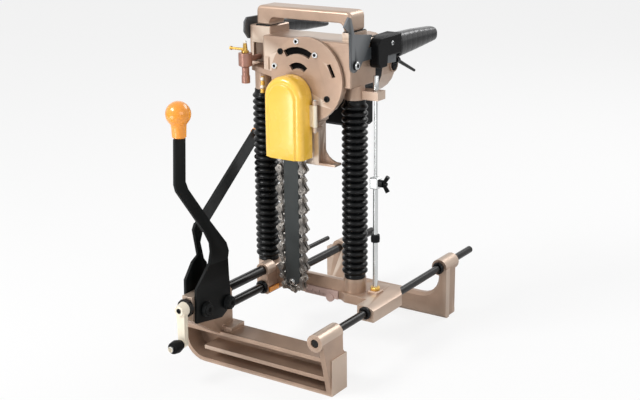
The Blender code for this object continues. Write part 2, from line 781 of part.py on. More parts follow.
def build_lock_lever():
    """The second lever: its foot lies inside, a bend leads it out past the left bellows."""
    inner = ROD_LEFT_X - POST_WIDE / 2 - GAP
    plane = inner - PLATE_T / 2
    foot = slab(list(LOCK_PLATE), "X", inner - PLATE_T, inner)
    thin = PLATE_T / 2 - GAP / 2

    def ring(x, y, z, run):
        side = Vector((0, -run[1], run[0])).normalized() * LEVER_HALF
        return [Vector((x + thin, y, z)) + side, Vector((x + thin, y, z)) - side,
                Vector((x - thin, y, z)) - side, Vector((x - thin, y, z)) + side]

    run = (LOCK_END[0] - LOCK_ELBOW[0], LOCK_END[1] - LOCK_ELBOW[1])
    bar = loft([ring(plane, *LOCK_ELBOW, run), ring(LOCK_OUT_X, *LOCK_END, run)])
    lever = joined(foot, bar)
    bore = rod((plane - POST_WIDE, SHAFT_Y, SHAFT_Z), (plane + POST_WIDE, SHAFT_Y, SHAFT_Z), SHAFT_R + GAP, SMALL)
    lever = cut(lever, bore)
    pivot = (0, SHAFT_Y, SHAFT_Z)
    keep(lever, "lock_lever", BLACK_STEEL, pivot)
    lean = Vector((0, run[0], run[1])).normalized()
    place = Vector((LOCK_OUT_X, *LOCK_END)) + lean * (KNOB_LONG + GAP)
    keep(knob(*place, -lean), "lock_knob", ORANGE, pivot)


def build_lever_shaft():
    """The shaft through the post that both levers turn on, with a head at each end."""
    reach = POST_WIDE / 2 + PLATE_T + GAP * 2
    left, right = ROD_LEFT_X - reach, ROD_LEFT_X + reach
    shaft = rod((left - EDGE, SHAFT_Y, SHAFT_Z), (right + EDGE, SHAFT_Y, SHAFT_Z), SHAFT_R, SMALL)
    head = rod((right, SHAFT_Y, SHAFT_Z), (right + SHAFT_HEAD_T, SHAFT_Y, SHAFT_Z), SHAFT_HEAD_R, ROUND,
               SHAFT_HEAD_R - EDGE)
    nut = rod((left, SHAFT_Y, SHAFT_Z), (left - SHAFT_HEAD_T, SHAFT_Y, SHAFT_Z), SHAFT_HEAD_R - EDGE, HEX)
    keep(joined(shaft, head, nut), "lever_shaft", BLACK_STEEL)


def build_crank():
    """The lead screw with its flange, journal, sleeve and thread, the crank arm and its knob."""
    pivot = (ROD_LEFT_X, 0, SCREW_Z)
    arm_back = CRANK_FACE_Y + CRANK_ARM_T
    flange_back = POST_FRONT - GAP
    sleeve_front = POST_BACK + GAP
    sleeve_back = BLOCK_FRONT + GAP
    profile = [
        (0, CRANK_FACE_Y - EDGE / 2), (SCREW_JOURNAL_R, CRANK_FACE_Y - EDGE / 2),
        (SCREW_JOURNAL_R, arm_back + GAP), (SCREW_FLANGE_R, arm_back + GAP), (SCREW_FLANGE_R, flange_back),
        (SCREW_JOURNAL_R, flange_back), (SCREW_JOURNAL_R, sleeve_front), (SCREW_SLEEVE_R, sleeve_front),
        (SCREW_SLEEVE_R, sleeve_back), (SCREW_THREAD_R, sleeve_back), (SCREW_THREAD_R, SCREW_TIP_Y - EDGE),
        (SCREW_THREAD_R - EDGE, SCREW_TIP_Y), (0, SCREW_TIP_Y)]
    keep(turned(profile, pivot, "Y", SMALL), "lead_screw", BLACK_STEEL, pivot)

    end_x = ROD_LEFT_X
    end_z = SCREW_Z - CRANK_REACH
    arm_front = CRANK_FACE_Y + CRANK_STEP
    hub = rod((ROD_LEFT_X, CRANK_FACE_Y, SCREW_Z), (ROD_LEFT_X, arm_back, SCREW_Z), CRANK_HUB_R,
              ROUND, CRANK_HUB_BACK_R)
    outline = [(ROD_LEFT_X + CRANK_HUB_R, SCREW_Z), (end_x + CRANK_END_R, end_z), (end_x - CRANK_END_R, end_z),
               (ROD_LEFT_X - CRANK_HUB_R, SCREW_Z)]
    bar = slab(outline, "Y", arm_front, arm_back - EDGE)
    eye = along_y(end_x, end_z, arm_front - EDGE / 2, arm_back - EDGE / 2, CRANK_END_R + EDGE / 2, SMALL)
    post = along_y(end_x, end_z, arm_front - CRANK_KNOB_LONG - EDGE * 1.5, arm_front + EDGE * 2, CRANK_PIN_R, SMALL)
    cap = along_y(end_x, end_z, arm_front - CRANK_KNOB_LONG - EDGE * 2, arm_front - CRANK_KNOB_LONG - EDGE,
                  CRANK_PIN_R + EDGE, SMALL)
    arm = joined(hub, bar, eye, post, cap)
    arm = cut(arm, along_y(ROD_LEFT_X, SCREW_Z, CRANK_FACE_Y - OVERRUN, arm_back + OVERRUN, SCREW_JOURNAL_R + GAP))
    keep(arm, "crank_arm", CREAM, pivot)

    length = CRANK_KNOB_LONG
    bore = CRANK_PIN_R + GAP
    start = EDGE / 2 + GAP
    profile = [(bore, start), (CRANK_KNOB_R * KNOB_WAIST_share, start), (CRANK_KNOB_R, length / 2),
               (CRANK_KNOB_R * KNOB_SHOULDER_share, length - EDGE), (bore, length - EDGE / 2)]
    profile = [(radius, -height) for radius, height in profile]
    keep(turned(profile, (end_x, arm_front, end_z), "Y", ROUND), "crank_knob", BLACK,
         (end_x, arm_front, end_z))


def build_carriage():
    """The cross casting: a block on the left rod, a beam, and a collar on the right rod."""
    left = block((BLOCK_LEFT, BLOCK_FRONT, BLOCK_BOTTOM), (BLOCK_RIGHT, BLOCK_BACK, CARRIAGE_TOP - EDGE / 4), EDGE)
    left_boss = rod((-COLUMN_X, 0, BLOCK_BOTTOM + EDGE / 2), (-COLUMN_X, 0, CARRIAGE_TOP), LEFT_BOSS_R, FINE)
    beam = block((BLOCK_RIGHT - EDGE * 2, BEAM_FRONT, 0), (COLUMN_X, BEAM_BACK, BEAM_TOP))
    hollow = block((BLOCK_RIGHT + BEAM_WEB, BEAM_FRONT + BEAM_WEB, BEAM_WEB),
                   (COLUMN_X - BOSS_R - EDGE, BEAM_BACK + OVERRUN, BEAM_TOP + OVERRUN))
    beam = cut(beam, hollow)
    boss = rod((COLUMN_X, 0, EDGE), (COLUMN_X, 0, CARRIAGE_TOP), BOSS_R, FINE)
    collar_left = ROD_RIGHT_X - COLLAR_HALF
    collar_right = ROD_RIGHT_X + COLLAR_HALF
    collar = slab([(collar_left, COLLAR_FRONT), (collar_right, COLLAR_FRONT), (collar_right, COLLAR_END),
                   (ROD_RIGHT_X, COLLAR_BACK), (collar_left, COLLAR_BACK)], "Z", COLLAR_FOOT, DECK_TOP)
    slope = slab([(collar_right - COLLAR_SLOPE * 2, DECK_TOP + EDGE), (collar_right - COLLAR_SLOPE * 2, DECK_TOP),
                  (collar_right + EDGE, DECK_TOP - COLLAR_SLOPE - EDGE / 2), (collar_right + EDGE, DECK_TOP + EDGE)],
                 "Y", COLLAR_FRONT - OVERRUN, COLLAR_BACK + OVERRUN)
    collar = cut(collar, slope)
    apron = slab([(COLUMN_X - EDGE * 3, DECK_FRONT), (collar_left + EDGE, DECK_FRONT),
                  (collar_left + EDGE, COLLAR_BACK - EDGE), (COLUMN_X + BOSS_R / 2, COLLAR_BACK - EDGE),
                  (COLUMN_X - BOSS_R, BEAM_BACK), (COLUMN_X - BOSS_R, BEAM_FRONT)], "Z", EDGE / 2,
                 DECK_TOP - EDGE / 4)
    pad = block((DEPTH_X - PAD_HALF, DEPTH_Y - PAD_HALF, ROD_RIGHT_Z),
                (DEPTH_X + PAD_HALF, DEPTH_Y + PAD_HALF, DEPTH_PAD_TOP), EDGE)
    nose = along_y(ROD_LEFT_X, SCREW_Z, BLOCK_FRONT, BLOCK_FRONT + SCREW_BOSS_LONG, SCREW_BOSS_R)
    body = joined(left, left_boss, beam, boss, apron, pad, collar, nose)
    tools = [
        along_y(ROD_RIGHT_X, ROD_RIGHT_Z, COLLAR_FRONT - OVERRUN, COLLAR_BACK + OVERRUN, ROD_RIGHT_R + GAP),
        along_y(ROD_LEFT_X, ROD_LEFT_Z, BLOCK_FRONT - OVERRUN, BLOCK_BACK + OVERRUN, ROD_LEFT_R + GAP),
        along_y(ROD_LEFT_X, SCREW_Z, BLOCK_FRONT - OVERRUN, BLOCK_BACK + OVERRUN, SCREW_THREAD_R + GAP),
        along_y(ROD_LEFT_X, SCREW_Z, BLOCK_FRONT - OVERRUN, BLOCK_FRONT + FEED_TRAVEL + 2 * GAP,
                SCREW_SLEEVE_R + GAP),
        rod((DEPTH_X, DEPTH_Y, DEPTH_FOOT - GAP), (DEPTH_X, DEPTH_Y, CARRIAGE_TOP), DEPTH_POLE_R + GAP, SMALL)]
    for x in (-COLUMN_X, COLUMN_X):
        tools.append(rod((x, 0, COLUMN_FOOT - GAP), (x, 0, CARRIAGE_TOP + OVERRUN), COLUMN_R + GAP))
    body = cut(body, *tools)
    keep(body, "carriage", BRONZE)

    for name, x, z, face, radius in (("carriage_wiper_left", ROD_LEFT_X, ROD_LEFT_Z, BLOCK_FRONT, ROD_LEFT_R),
                                     ("carriage_wiper_right", ROD_RIGHT_X, ROD_RIGHT_Z, COLLAR_FRONT,
                                      ROD_RIGHT_R)):
        keep(wiper(x, z, face, radius), name, RUBBER)

    plate = block((BLOCK_RIGHT + GAP, BLOCK_FRONT + EDGE * 2, SIGHT_LOW),
                  (BLOCK_RIGHT + GAP + SIGHT_T, BEAM_FRONT - GAP, SIGHT_HIGH))
    keep(plate, "sight_plate", ORANGE)
    scale = block((0, BEAM_FRONT - GAP - SIGHT_T, 0), (SCALE_RIGHT, BEAM_FRONT - GAP, SCALE_HIGH))
    dial = rod((SCALE_RIGHT - SCALE_HIGH, BEAM_FRONT - GAP - SIGHT_T * 2, EDGE),
               (SCALE_RIGHT - SCALE_HIGH, BEAM_FRONT - GAP, EDGE), SCALE_HIGH / 2, SMALL)
    keep(joined(scale, dial), "scale_plate", CREAM)


def build_columns():
    for side, name in ((-1, "left"), (1, "right")):
        x = side * COLUMN_X
        column = turned([(COLUMN_BORE, COLUMN_FOOT), (COLUMN_R, COLUMN_FOOT), (COLUMN_R, COLUMN_TOP - EDGE),
                         (COLUMN_R - EDGE, COLUMN_TOP), (COLUMN_BORE, COLUMN_TOP)][::-1], (x, 0, 0))
        keep(column, "column_" + name, STEEL)
        keep(rod((x, 0, HEAD_ROD_FOOT), (x, 0, HEAD_ROD_TOP - GAP), HEAD_ROD_R), "head_rod_" + name, STEEL,
             (x, 0, HEAD_FOOT))
        build_bellows(x, name)


def build_bellows(x, name):
    """A ribbed gaiter between carriage and head, with a return spring inside it."""
    foot = CARRIAGE_TOP + GAP
    top = HEAD_FOOT - GAP
    pitch = (top - foot - 2 * BELLOWS_CUFF) / BELLOWS_RIBS
    outer = [(BELLOWS_VALLEY, foot), (BELLOWS_VALLEY, foot + BELLOWS_CUFF)]
    for i in range(BELLOWS_RIBS):
        low = foot + BELLOWS_CUFF + i * pitch
        outer += [(BELLOWS_R, low + pitch / 2), (BELLOWS_VALLEY, low + pitch)]
    outer.append((BELLOWS_VALLEY, top))
    profile = [(BELLOWS_BORE, foot)] + outer + [(BELLOWS_BORE, top)]
    keep(turned(profile[::-1], (x, 0, 0), "Z", BELLOWS_SIDES), "bellows_" + name, RUBBER, (x, 0, foot))

    low = foot + SPRING_WIRE + GAP
    high = top - SPRING_WIRE - GAP
    count = SPRING_TURNS * SPRING_POINTS
    points = []
    for i in range(count + 1):
        t = i / count
        angle = 2 * math.pi * SPRING_TURNS * t
        points.append((x + SPRING_R * math.cos(angle), SPRING_R * math.sin(angle), low + (high - low) * t))
    keep(tube(points, SPRING_WIRE, 0), "return_spring_" + name, STEEL, (x, 0, foot))


def build_depth_gauge():
    """A stepped pole on the carriage, its top nut, and a stop with a wing screw that slides on it."""
    top = DEPTH_STOP_Z + DEPTH_STOP_HIGH
    profile = [(0, DEPTH_FOOT), (DEPTH_POLE_R, DEPTH_FOOT), (DEPTH_POLE_R, top), (DEPTH_ROD_R, top),
               (DEPTH_ROD_R, DEPTH_TOP - EDGE), (0, DEPTH_TOP - EDGE)]
    keep(turned(profile[::-1], (DEPTH_X, DEPTH_Y, 0), "Z", SMALL), "depth_pole", STEEL)
    inner = DEPTH_ROD_R + GAP
    low = LUG_TOP + GAP
    profile = [(inner, low), (DEPTH_CAP_R, low), (DEPTH_CAP_R, DEPTH_TOP - EDGE / 2),
               (DEPTH_CAP_R - EDGE / 4, DEPTH_TOP), (inner, DEPTH_TOP)]
    keep(turned(profile[::-1], (DEPTH_X, DEPTH_Y, 0), "Z", SMALL), "depth_pole_nut", STEEL)

    half = DEPTH_STOP_WIDE / 2
    body = block((DEPTH_X - half, DEPTH_Y - half, DEPTH_STOP_Z), (DEPTH_X + half, DEPTH_Y + half, top), EDGE)
    middle = DEPTH_STOP_Z + DEPTH_STOP_HIGH / 2
    body = cut(body, rod((DEPTH_X, DEPTH_Y, DEPTH_STOP_Z - OVERRUN), (DEPTH_X, DEPTH_Y, top + OVERRUN),
                         DEPTH_POLE_R + GAP, SMALL),
               rod((DEPTH_X, DEPTH_Y, middle), (DEPTH_X + half + OVERRUN, DEPTH_Y, middle), WING_R + GAP, SMALL))
    keep(body, "depth_stop", STEEL)

    start = DEPTH_X + DEPTH_POLE_R + GAP * 2
    out = DEPTH_X + half + GAP
    pivot = (out, DEPTH_Y, middle)
    screw = rod((start, DEPTH_Y, middle), (out + WING_LONG, DEPTH_Y, middle), WING_R, SMALL)
    collar = rod((out, DEPTH_Y, middle), (out + WING_LONG / 2, DEPTH_Y, middle), WING_R + EDGE * 2, SMALL)
    wings = []
    for side in (-1, 1):
        tip = Vector((out + WING_LONG + EDGE, DEPTH_Y, middle + side * WING_SPAN))
        wings.append(rod((out + WING_LONG / 2, DEPTH_Y, middle), tip, WING_R, FEW, WING_R * WING_TIP_share))
    keep(joined(screw, collar, *wings), "depth_wing_screw", BLACK_STEEL, pivot)


def build_head_casting():
    """Gear case, two column housings and the lug for the depth rod, in one casting."""
    left = block((-HEAD_HALF, LEFT_FRONT, HEAD_TOP - LEFT_HIGH), (FRONT_LEFT_X + EDGE, HEAD_BACK - EDGE / 2,
                                                                  HANDLE_FOOT), EDGE)
    seat = block((HANDLE_HALF - HANDLE_POST_RIGHT - EDGE, HANDLE_FRONT - EDGE / 2, HEAD_TOP - EDGE),
                 (HANDLE_HALF + EDGE, HANDLE_BACK + EDGE, HANDLE_FOOT))
    front = slab([(FRONT_LEFT_X, FLANGE_BAR[1][1]), (0, HEAD_FLOOR), (HEAD_HALF, HEAD_FLOOR), (HEAD_HALF, HEAD_TOP),
                  (FRONT_LEFT_X, HEAD_TOP)], "Y", HEAD_FRONT + EDGE / 2, HEAD_BACK, EDGE)
    ring_back = -BELLOWS_R - RUNNING
    case = along_y(CASE_X, CASE_Z, HEAD_FRONT, ring_back, CASE_R, FINE)
    deep_case = along_y(CASE_X, CASE_Z, ring_back - EDGE, HEAD_BACK - EDGE * 3, CASE_DEEP_R, FINE)
    low_case = along_y(0, SPINDLE_Z, HEAD_FRONT + EDGE / 4, HEAD_BACK - EDGE * 2, SPINDLE_CASE_R, FINE)
    bar = slab(list(FLANGE_BAR), "Y", HEAD_FRONT + EDGE / 3, LEFT_FRONT + EDGE * 2)
    pieces = [front, case, deep_case, low_case, bar]
    for x in (-COLUMN_X, COLUMN_X):
        pieces.append(rod((x, 0, HEAD_FOOT), (x, 0, HEAD_TOP - EDGE), HOUSING_R, FINE))
    lug = block((COLUMN_X, DEPTH_Y - LUG_HALF - EDGE, HEAD_FOOT + EDGE),
                (DEPTH_X + LUG_HALF, DEPTH_Y + LUG_HALF, LUG_TOP))
    foot = block((PAD_LEFT, HEAD_FRONT + EDGE, CASE_Z - COVER_R + EDGE),
                 (PAD_RIGHT, HEAD_FRONT + HEAD_BACK + EDGE, CASE_Z - COVER_R + PAD_HIGH))
    rib = block((RIB_X, HEAD_FRONT - EDGE, RIB_FOOT), (RIB_X + RIB_WIDE, HEAD_FRONT + EDGE, RIB_TOP))
    body = joined(left, *pieces, seat, lug, foot, rib)

    cavity = along_y(CASE_X, CASE_Z, HEAD_FRONT - OVERRUN, CASE_FLOOR, CASE_DEEP_R - CASE_WALL, FINE)
    low_cavity = along_y(0, SPINDLE_Z, HEAD_FRONT - OVERRUN, CASE_FLOOR - EDGE, SPINDLE_CASE_R - CASE_WALL / 2, FINE)
    tools = [cavity, low_cavity,
             along_y(CASE_X, CASE_Z, 0, HEAD_BACK + OVERRUN, BEARING_R + GAP),
             along_y(0, SPINDLE_Z, 0, HEAD_BACK - CASE_WALL / 2, SPINDLE_R + GAP)]
    bore_top = COLUMN_TOP + STROKE + 2 * GAP
    for x in (-COLUMN_X, COLUMN_X):
        tools.append(rod((x, 0, HEAD_FOOT - OVERRUN), (x, 0, bore_top), COLUMN_R + GAP))
        tools.append(rod((x, 0, COLUMN_TOP), (x, 0, HEAD_TOP + OVERRUN), HEAD_ROD_R + GAP))
        out = math.copysign(HEAD_HALF, x)
        bolt_y, bolt_z, bolt_r = SIDE_BOLTS[x > 0]
        tools.append(rod((out - math.copysign(SIDE_BOLT_DEEP + GAP, x), bolt_y, bolt_z),
                         (out + math.copysign(OVERRUN, x), bolt_y, bolt_z), bolt_r + GAP, SMALL))
    tools.append(rod((DEPTH_X, DEPTH_Y, HEAD_FOOT - OVERRUN), (DEPTH_X, DEPTH_Y, LUG_TOP + OVERRUN),
                     DEPTH_ROD_R + GAP, SMALL))
    tools.append(block((RECESS_LEFT, LEFT_FRONT - OVERRUN, RECESS_FOOT),
                       (RECESS_RIGHT, LEFT_FRONT + RECESS_DEEP, RECESS_TOP)))
    body = cut(body, *tools)
    keep(body, "head_casting", BRONZE, (0, 0, HEAD_FOOT))


def slot_arc(radius, half, start, end, count=6):
    outer = arc((SLOT_X, CASE_Z), radius + half, start, end, count)
    inner = arc((SLOT_X, CASE_Z), radius - half, end, start, count)
    return slab(outer + inner, "Y", HEAD_FRONT - COVER_T - OVERRUN * 2, HEAD_FRONT + OVERRUN / 2)


def build_gear_cover():
    """The round front cover with its slots, screw heads and the upper hinge knuckle."""
    back = HEAD_FRONT - GAP
    front = back - COVER_T
    disc = along_y(CASE_X, CASE_Z, front, back, COVER_R, FINE + SMALL)
    heads = [along_y(x, z, front - SCREW_HEAD_T, back - EDGE, SCREW_HEAD_R, SMALL) for x, z in COVER_SCREWS]
    knuckle = rod((HINGE_X, HINGE_Y, HINGE_TOP - KNUCKLE), (HINGE_X, HINGE_Y, HINGE_TOP), HINGE_R, SMALL)
    lug = block((HINGE_X - HINGE_R * LUG_INSET_share, HINGE_Y, HINGE_TOP - KNUCKLE + EDGE / 4),
                (HINGE_X + HINGE_R - EDGE / 4, front + EDGE, HINGE_TOP - EDGE / 4))
    hub = along_y(0, SPINDLE_Z, back - EDGE, back - EDGE + BEARING_LONG, BEARING_R + CASE_WALL / 2)
    disc = joined(disc, *heads, knuckle, lug, hub)
    oblong = slab([(CASE_X + x, CASE_Z + z) for x, z in OBLONG_OUTLINE], "Y", front - OVERRUN, back + OVERRUN)
    disc = cut(disc, slot_arc(SLOT_R, SLOT_HALF, 57, 123),
               slot_arc(SLOT_R / 2 - EDGE, SLOT_HALF - EDGE / 2, 44, 131, 5), oblong,
               along_y(0, SPINDLE_Z, front - OVERRUN, HEAD_FRONT + BEARING_LONG, BEARING_R + GAP),
               rod((HINGE_X, HINGE_Y, HINGE_FOOT), (HINGE_X, HINGE_Y, HINGE_TOP + OVERRUN), HINGE_PIN_R + GAP, FEW))
    keep(disc, "gear_cover", BRONZE, (0, 0, HEAD_FOOT))


def build_carry_handle():
    """A loop over the head: two posts and a bar."""
    low = HANDLE_FOOT + GAP
    corner = HANDLE_BAR / 2
    outer = [(-HANDLE_HALF, low), (HANDLE_HALF, low)]
    outer += arc((HANDLE_HALF - corner, HANDLE_TOP - corner), corner, 0, 90, 3)
    outer += arc((-HANDLE_HALF + corner, HANDLE_TOP - corner), corner, 90, 180, 3)
    bar = slab(outer, "Y", HANDLE_FRONT, HANDLE_BACK, EDGE * 2)
    left = -HANDLE_HALF + HANDLE_POST_LEFT
    right = HANDLE_HALF - HANDLE_POST_RIGHT
    top = HANDLE_TOP - HANDLE_BAR
    inner = [(left, low - OVERRUN), (right, low - OVERRUN)]
    inner += arc((right - corner, top - corner), corner, 0, 90, 3)
    inner += arc((left + corner, top - corner), corner, 90, 180, 3)
    window = slab(inner, "Y", HANDLE_FRONT - OVERRUN, HANDLE_BACK + OVERRUN)
    keep(cut(bar, window), "carry_handle", BRONZE, (0, 0, HEAD_FOOT))


def build_side_plate(side, name):
    """The grey plate on each side of the head that carries a rear grip."""
    bolt_y, bolt_z, bolt_r = SIDE_BOLTS[side > 0]
    near, far = HEAD_HALF + GAP, HEAD_HALF + GAP + SIDE_T
    low, high = sorted((side * near, side * far))
    if side > 0:
        outline = list(SIDE_OUTLINE)
        outline += arc((bolt_y, bolt_z), SIDE_HEAD_R + SIDE_HEAD_T, 320, 180, 5) + list(SIDE_TAIL)
        plate = joined(slab(outline, "X", low, high),
                       block((low + GAP / 4, -TONGUE_END / 2, TONGUE_Z - TONGUE_HALF),
                             (high - GAP / 4, TONGUE_END, TONGUE_Z + TONGUE_HALF)))
    else:
        plate = slab(list(LEFT_OUTLINE), "X", low, high)
    plate = cut(plate, rod((low - OVERRUN, bolt_y, bolt_z), (high + OVERRUN, bolt_y, bolt_z), bolt_r + GAP, SMALL))
    keep(plate, "side_plate_" + name, GREY, (0, 0, HEAD_FOOT))
    out = side * (far + GAP)
    tip = side * (HEAD_HALF - SIDE_BOLT_DEEP)
    head = rod((out, bolt_y, bolt_z), (out + side * SIDE_HEAD_T, bolt_y, bolt_z), bolt_r * BOLT_HEAD_share, SMALL)
    shank = rod((tip, bolt_y, bolt_z), (out + side * EDGE, bolt_y, bolt_z), bolt_r, SMALL)
    keep(joined(head, shank), "side_bolt_" + name, BLACK_STEEL, (0, 0, HEAD_FOOT))


def grip_ring(x, y, half, low, high):
    """A rounded section of a grip, across X and Z."""
    points = []
    middle, tall = (low + high) / 2, (high - low) / 2
    for i in range(GRIP_SIDES):
        angle = 2 * math.pi * (i + 0.5) / GRIP_SIDES
        c, s = math.cos(angle), math.sin(angle)
        points.append((x + half * math.copysign(abs(c) ** GRIP_POWER, c), y,
                       middle + tall * math.copysign(abs(s) ** GRIP_POWER, s)))
    return points


def grip(x, sections):
    """A tapering grip through sections of (Y, lowest, highest), with a rounded end."""
    rings = [grip_ring(x, y, GRIP_HALF, low, high) for y, low, high in sections]
    end, low, high = sections[-1]
    middle, tall = (low + high) / 2, (high - low) / 2 * GRIP_TIP_share
    rings.append(grip_ring(x, end + GRIP_TIP_LONG, GRIP_HALF * GRIP_TIP_share, middle - tall, middle + tall))
    return loft(rings)


def build_handles():
    pivot = (0, 0, HEAD_FOOT)
    near, far = HEAD_HALF + GAP, HEAD_HALF + GAP + SIDE_T
    start, grip_low, grip_top = RIGHT_GRIP[0]
    switch_end = start - GAP
    outline = [(SWITCH_START, SWITCH_BOTTOM + SWITCH_CHAMFER), (SWITCH_START + SWITCH_CHAMFER, SWITCH_BOTTOM),
               (SWITCH_STEP_Y, SWITCH_BOTTOM), (SWITCH_STEP_Y + EDGE, SWITCH_STEP_Z), (switch_end, SWITCH_STEP_Z),
               (switch_end, grip_top + EDGE), (SWITCH_START + SWITCH_CHAMFER, SWITCH_TOP),
               (SWITCH_START, SWITCH_TOP - SWITCH_CHAMFER)]
    body = slab(outline, "X", GRIP_X - SWITCH_HALF, GRIP_X + SWITCH_HALF, EDGE)
    slot = block((near - GAP, SWITCH_START - OVERRUN, TONGUE_Z - TONGUE_HALF - GAP),
                 (far + GAP, TONGUE_END + GAP, TONGUE_Z + TONGUE_HALF + GAP))
    relief = block((near - GAP, SWITCH_START - OVERRUN, SWITCH_BOTTOM - OVERRUN),
                   (far + GAP, SIDE_OUTLINE[3][0] + GAP, SWITCH_TOP + OVERRUN))
    pocket = block((GRIP_X - TRIGGER_HALF - GAP, TRIGGER_START - GAP, SWITCH_STEP_Z - OVERRUN),
                   (GRIP_X + TRIGGER_HALF + GAP, TRIGGER_END + GAP, TRIGGER_TOP + TRIGGER_TRAVEL + GAP))
    beside = block((GRIP_X - SWITCH_HALF - OVERRUN, SWITCH_START - OVERRUN, SWITCH_BOTTOM - OVERRUN),
                   (near, HEAD_BACK + GAP, grip_top + EDGE + OVERRUN))
    body = cut(body, slot, relief, beside, pocket)
    keep(body, "switch_housing", BLACK, pivot)
    keep(grip(GRIP_X, RIGHT_GRIP), "right_grip", RUBBER, pivot)

    trigger = slab([(TRIGGER_START, TRIGGER_TOP), (TRIGGER_START, TRIGGER_BOTTOM),
                    (TRIGGER_END - EDGE, TRIGGER_BOTTOM - EDGE), (TRIGGER_END, TRIGGER_TOP)],
                   "X", GRIP_X - TRIGGER_HALF, GRIP_X + TRIGGER_HALF)
    keep(trigger, "trigger", GREY, (GRIP_X, TRIGGER_START, TRIGGER_TOP))

    guard_z = grip_low - GAP - GUARD_R - EDGE
    seat = along_y(GRIP_X, guard_z, GUARD_START, GUARD_START + GUARD_SEAT, GUARD_R + EDGE, SMALL)
    run = rod((GRIP_X, GUARD_START + GUARD_SEAT / 2, guard_z), (GRIP_X, GUARD_END_Y, GUARD_END_Z), GUARD_R, SMALL,
              GUARD_R * GUARD_TIP_share)
    keep(joined(seat, run), "cord_guard", RUBBER, pivot)

    left = grip(-GRIP_X, LEFT_GRIP)
    tongue_y, tongue_top = LEFT_OUTLINE[4]
    left = cut(left, block((-far - GAP, LEFT_GRIP[0][0] - OVERRUN, LEFT_OUTLINE[6][1] - GAP),
                           (-near + GAP, tongue_y + GAP, LEFT_OUTLINE[3][1] + GAP)))
    keep(left, "left_grip", RUBBER, pivot)


def build_motor():
    """Housing with its lower box, rear cover, brush caps, armature and rear bearing."""
    pivot = (0, 0, HEAD_FOOT)
    front = HEAD_BACK + GAP
    barrel = along_y(CASE_X, CASE_Z, front, MOTOR_JOIN, MOTOR_R, FINE)
    flange = along_y(CASE_X, CASE_Z, front, front + CASE_WALL, MOTOR_R + CASE_WALL, FINE)
    box = block((BOX_LEFT, BOX_FRONT, BOX_FOOT), (BOX_RIGHT, BOX_BACK, CASE_Z - BARREL_BORE / 2), EDGE * 3)
    ribs = []
    for i in range(-2, 3):
        angle = math.radians(90 + i * RIB_TURN)
        place = (CASE_X + MOTOR_R * math.cos(angle), CASE_Z + MOTOR_R * math.sin(angle))
        ribs.append(along_y(*place, front + CASE_WALL * 2, MOTOR_JOIN - CASE_WALL, EDGE * 1.5, FEW))
    housing = joined(barrel, flange, box, *ribs)
    housing = cut(housing, along_y(CASE_X, CASE_Z, front - OVERRUN, MOTOR_JOIN + OVERRUN, BARREL_BORE, FINE))
    keep(housing, "motor_housing", BLACK, pivot)

    start = MOTOR_JOIN + GAP
    inner_back = MOTOR_BACK - CASE_WALL * 2
    bore = BARREL_BORE - EDGE
    seat_end, seat = MOTOR_BACK - CASE_WALL, BEARING_R + GAP
    profile = [(0, seat_end), (seat, seat_end), (seat, inner_back), (bore, inner_back), (bore, start),
               (MOTOR_R, start), (MOTOR_R, inner_back), (MOTOR_R * DOME_share, MOTOR_BACK - CASE_WALL / 2),
               (COVER_FLAT_R, MOTOR_BACK), (0, MOTOR_BACK)]
    cover = turned(profile, (CASE_X, 0, CASE_Z), "Y", FINE)
    bosses, tools = [], []
    for side in (-1, 1):
        bosses.append(rod((CASE_X + side * (bore + EDGE), BRUSH_Y, CASE_Z),
                          (CASE_X + side * (MOTOR_R + EDGE), BRUSH_Y, CASE_Z), BRUSH_BOSS_R))
        tools.append(rod((CASE_X + side * (MOTOR_R - CASE_WALL / 2), BRUSH_Y, CASE_Z),
                         (CASE_X + side * (MOTOR_R + CASE_WALL), BRUSH_Y, CASE_Z), BRUSH_R + GAP))
    keep(cut(joined(cover, *bosses), *tools), "motor_cover", BRONZE, pivot)
    for side, name in ((-1, "left"), (1, "right")):
        inner = CASE_X + side * (MOTOR_R - CASE_WALL / 2 + GAP)
        outer = CASE_X + side * (MOTOR_R + EDGE * 2)
        cap = rod((inner, BRUSH_Y, CASE_Z), (outer, BRUSH_Y, CASE_Z), BRUSH_R, ROUND, BRUSH_R - EDGE)
        slit = block((outer - EDGE, BRUSH_Y - BRUSH_R, CASE_Z - EDGE / 2), (outer + EDGE, BRUSH_Y + BRUSH_R,
                                                                             CASE_Z + EDGE / 2))
        keep(cut(cap, slit), "brush_cap_" + name, BLACK, pivot)

    bearing_front, bearing_end = MOTOR_BACK - CASE_WALL * 2 - GAP, MOTOR_BACK - CASE_WALL - GAP
    profile = [(0, GEAR_FRONT - EDGE), (PINION_R, GEAR_FRONT - EDGE), (PINION_R, GEAR_BACK + EDGE),
               (MOTOR_SHAFT_R, GEAR_BACK + EDGE), (MOTOR_SHAFT_R, CORE_FRONT - CASE_WALL),
               (FAN_R, CORE_FRONT - CASE_WALL), (FAN_R, CORE_FRONT - EDGE * 2), (CORE_R, CORE_FRONT - EDGE),
               (CORE_R, CORE_BACK), (MOTOR_SHAFT_R, CORE_BACK + EDGE), (COMMUTATOR_R, CORE_BACK + CASE_WALL),
               (COMMUTATOR_R, bearing_front - CASE_WALL), (MOTOR_SHAFT_R, bearing_front - CASE_WALL),
               (MOTOR_SHAFT_R, bearing_end), (0, bearing_end)]
    keep(turned(profile[::-1], (CASE_X, 0, CASE_Z), "Y", SMALL), "motor_armature", COPPER, (CASE_X, 0, CASE_Z))
    ring = turned([(MOTOR_SHAFT_R + GAP, bearing_front), (BEARING_R, bearing_front), (BEARING_R, bearing_end),
                   (MOTOR_SHAFT_R + GAP, bearing_end)][::-1], (CASE_X, 0, CASE_Z), "Y")
    keep(ring, "motor_bearing", STEEL, pivot)


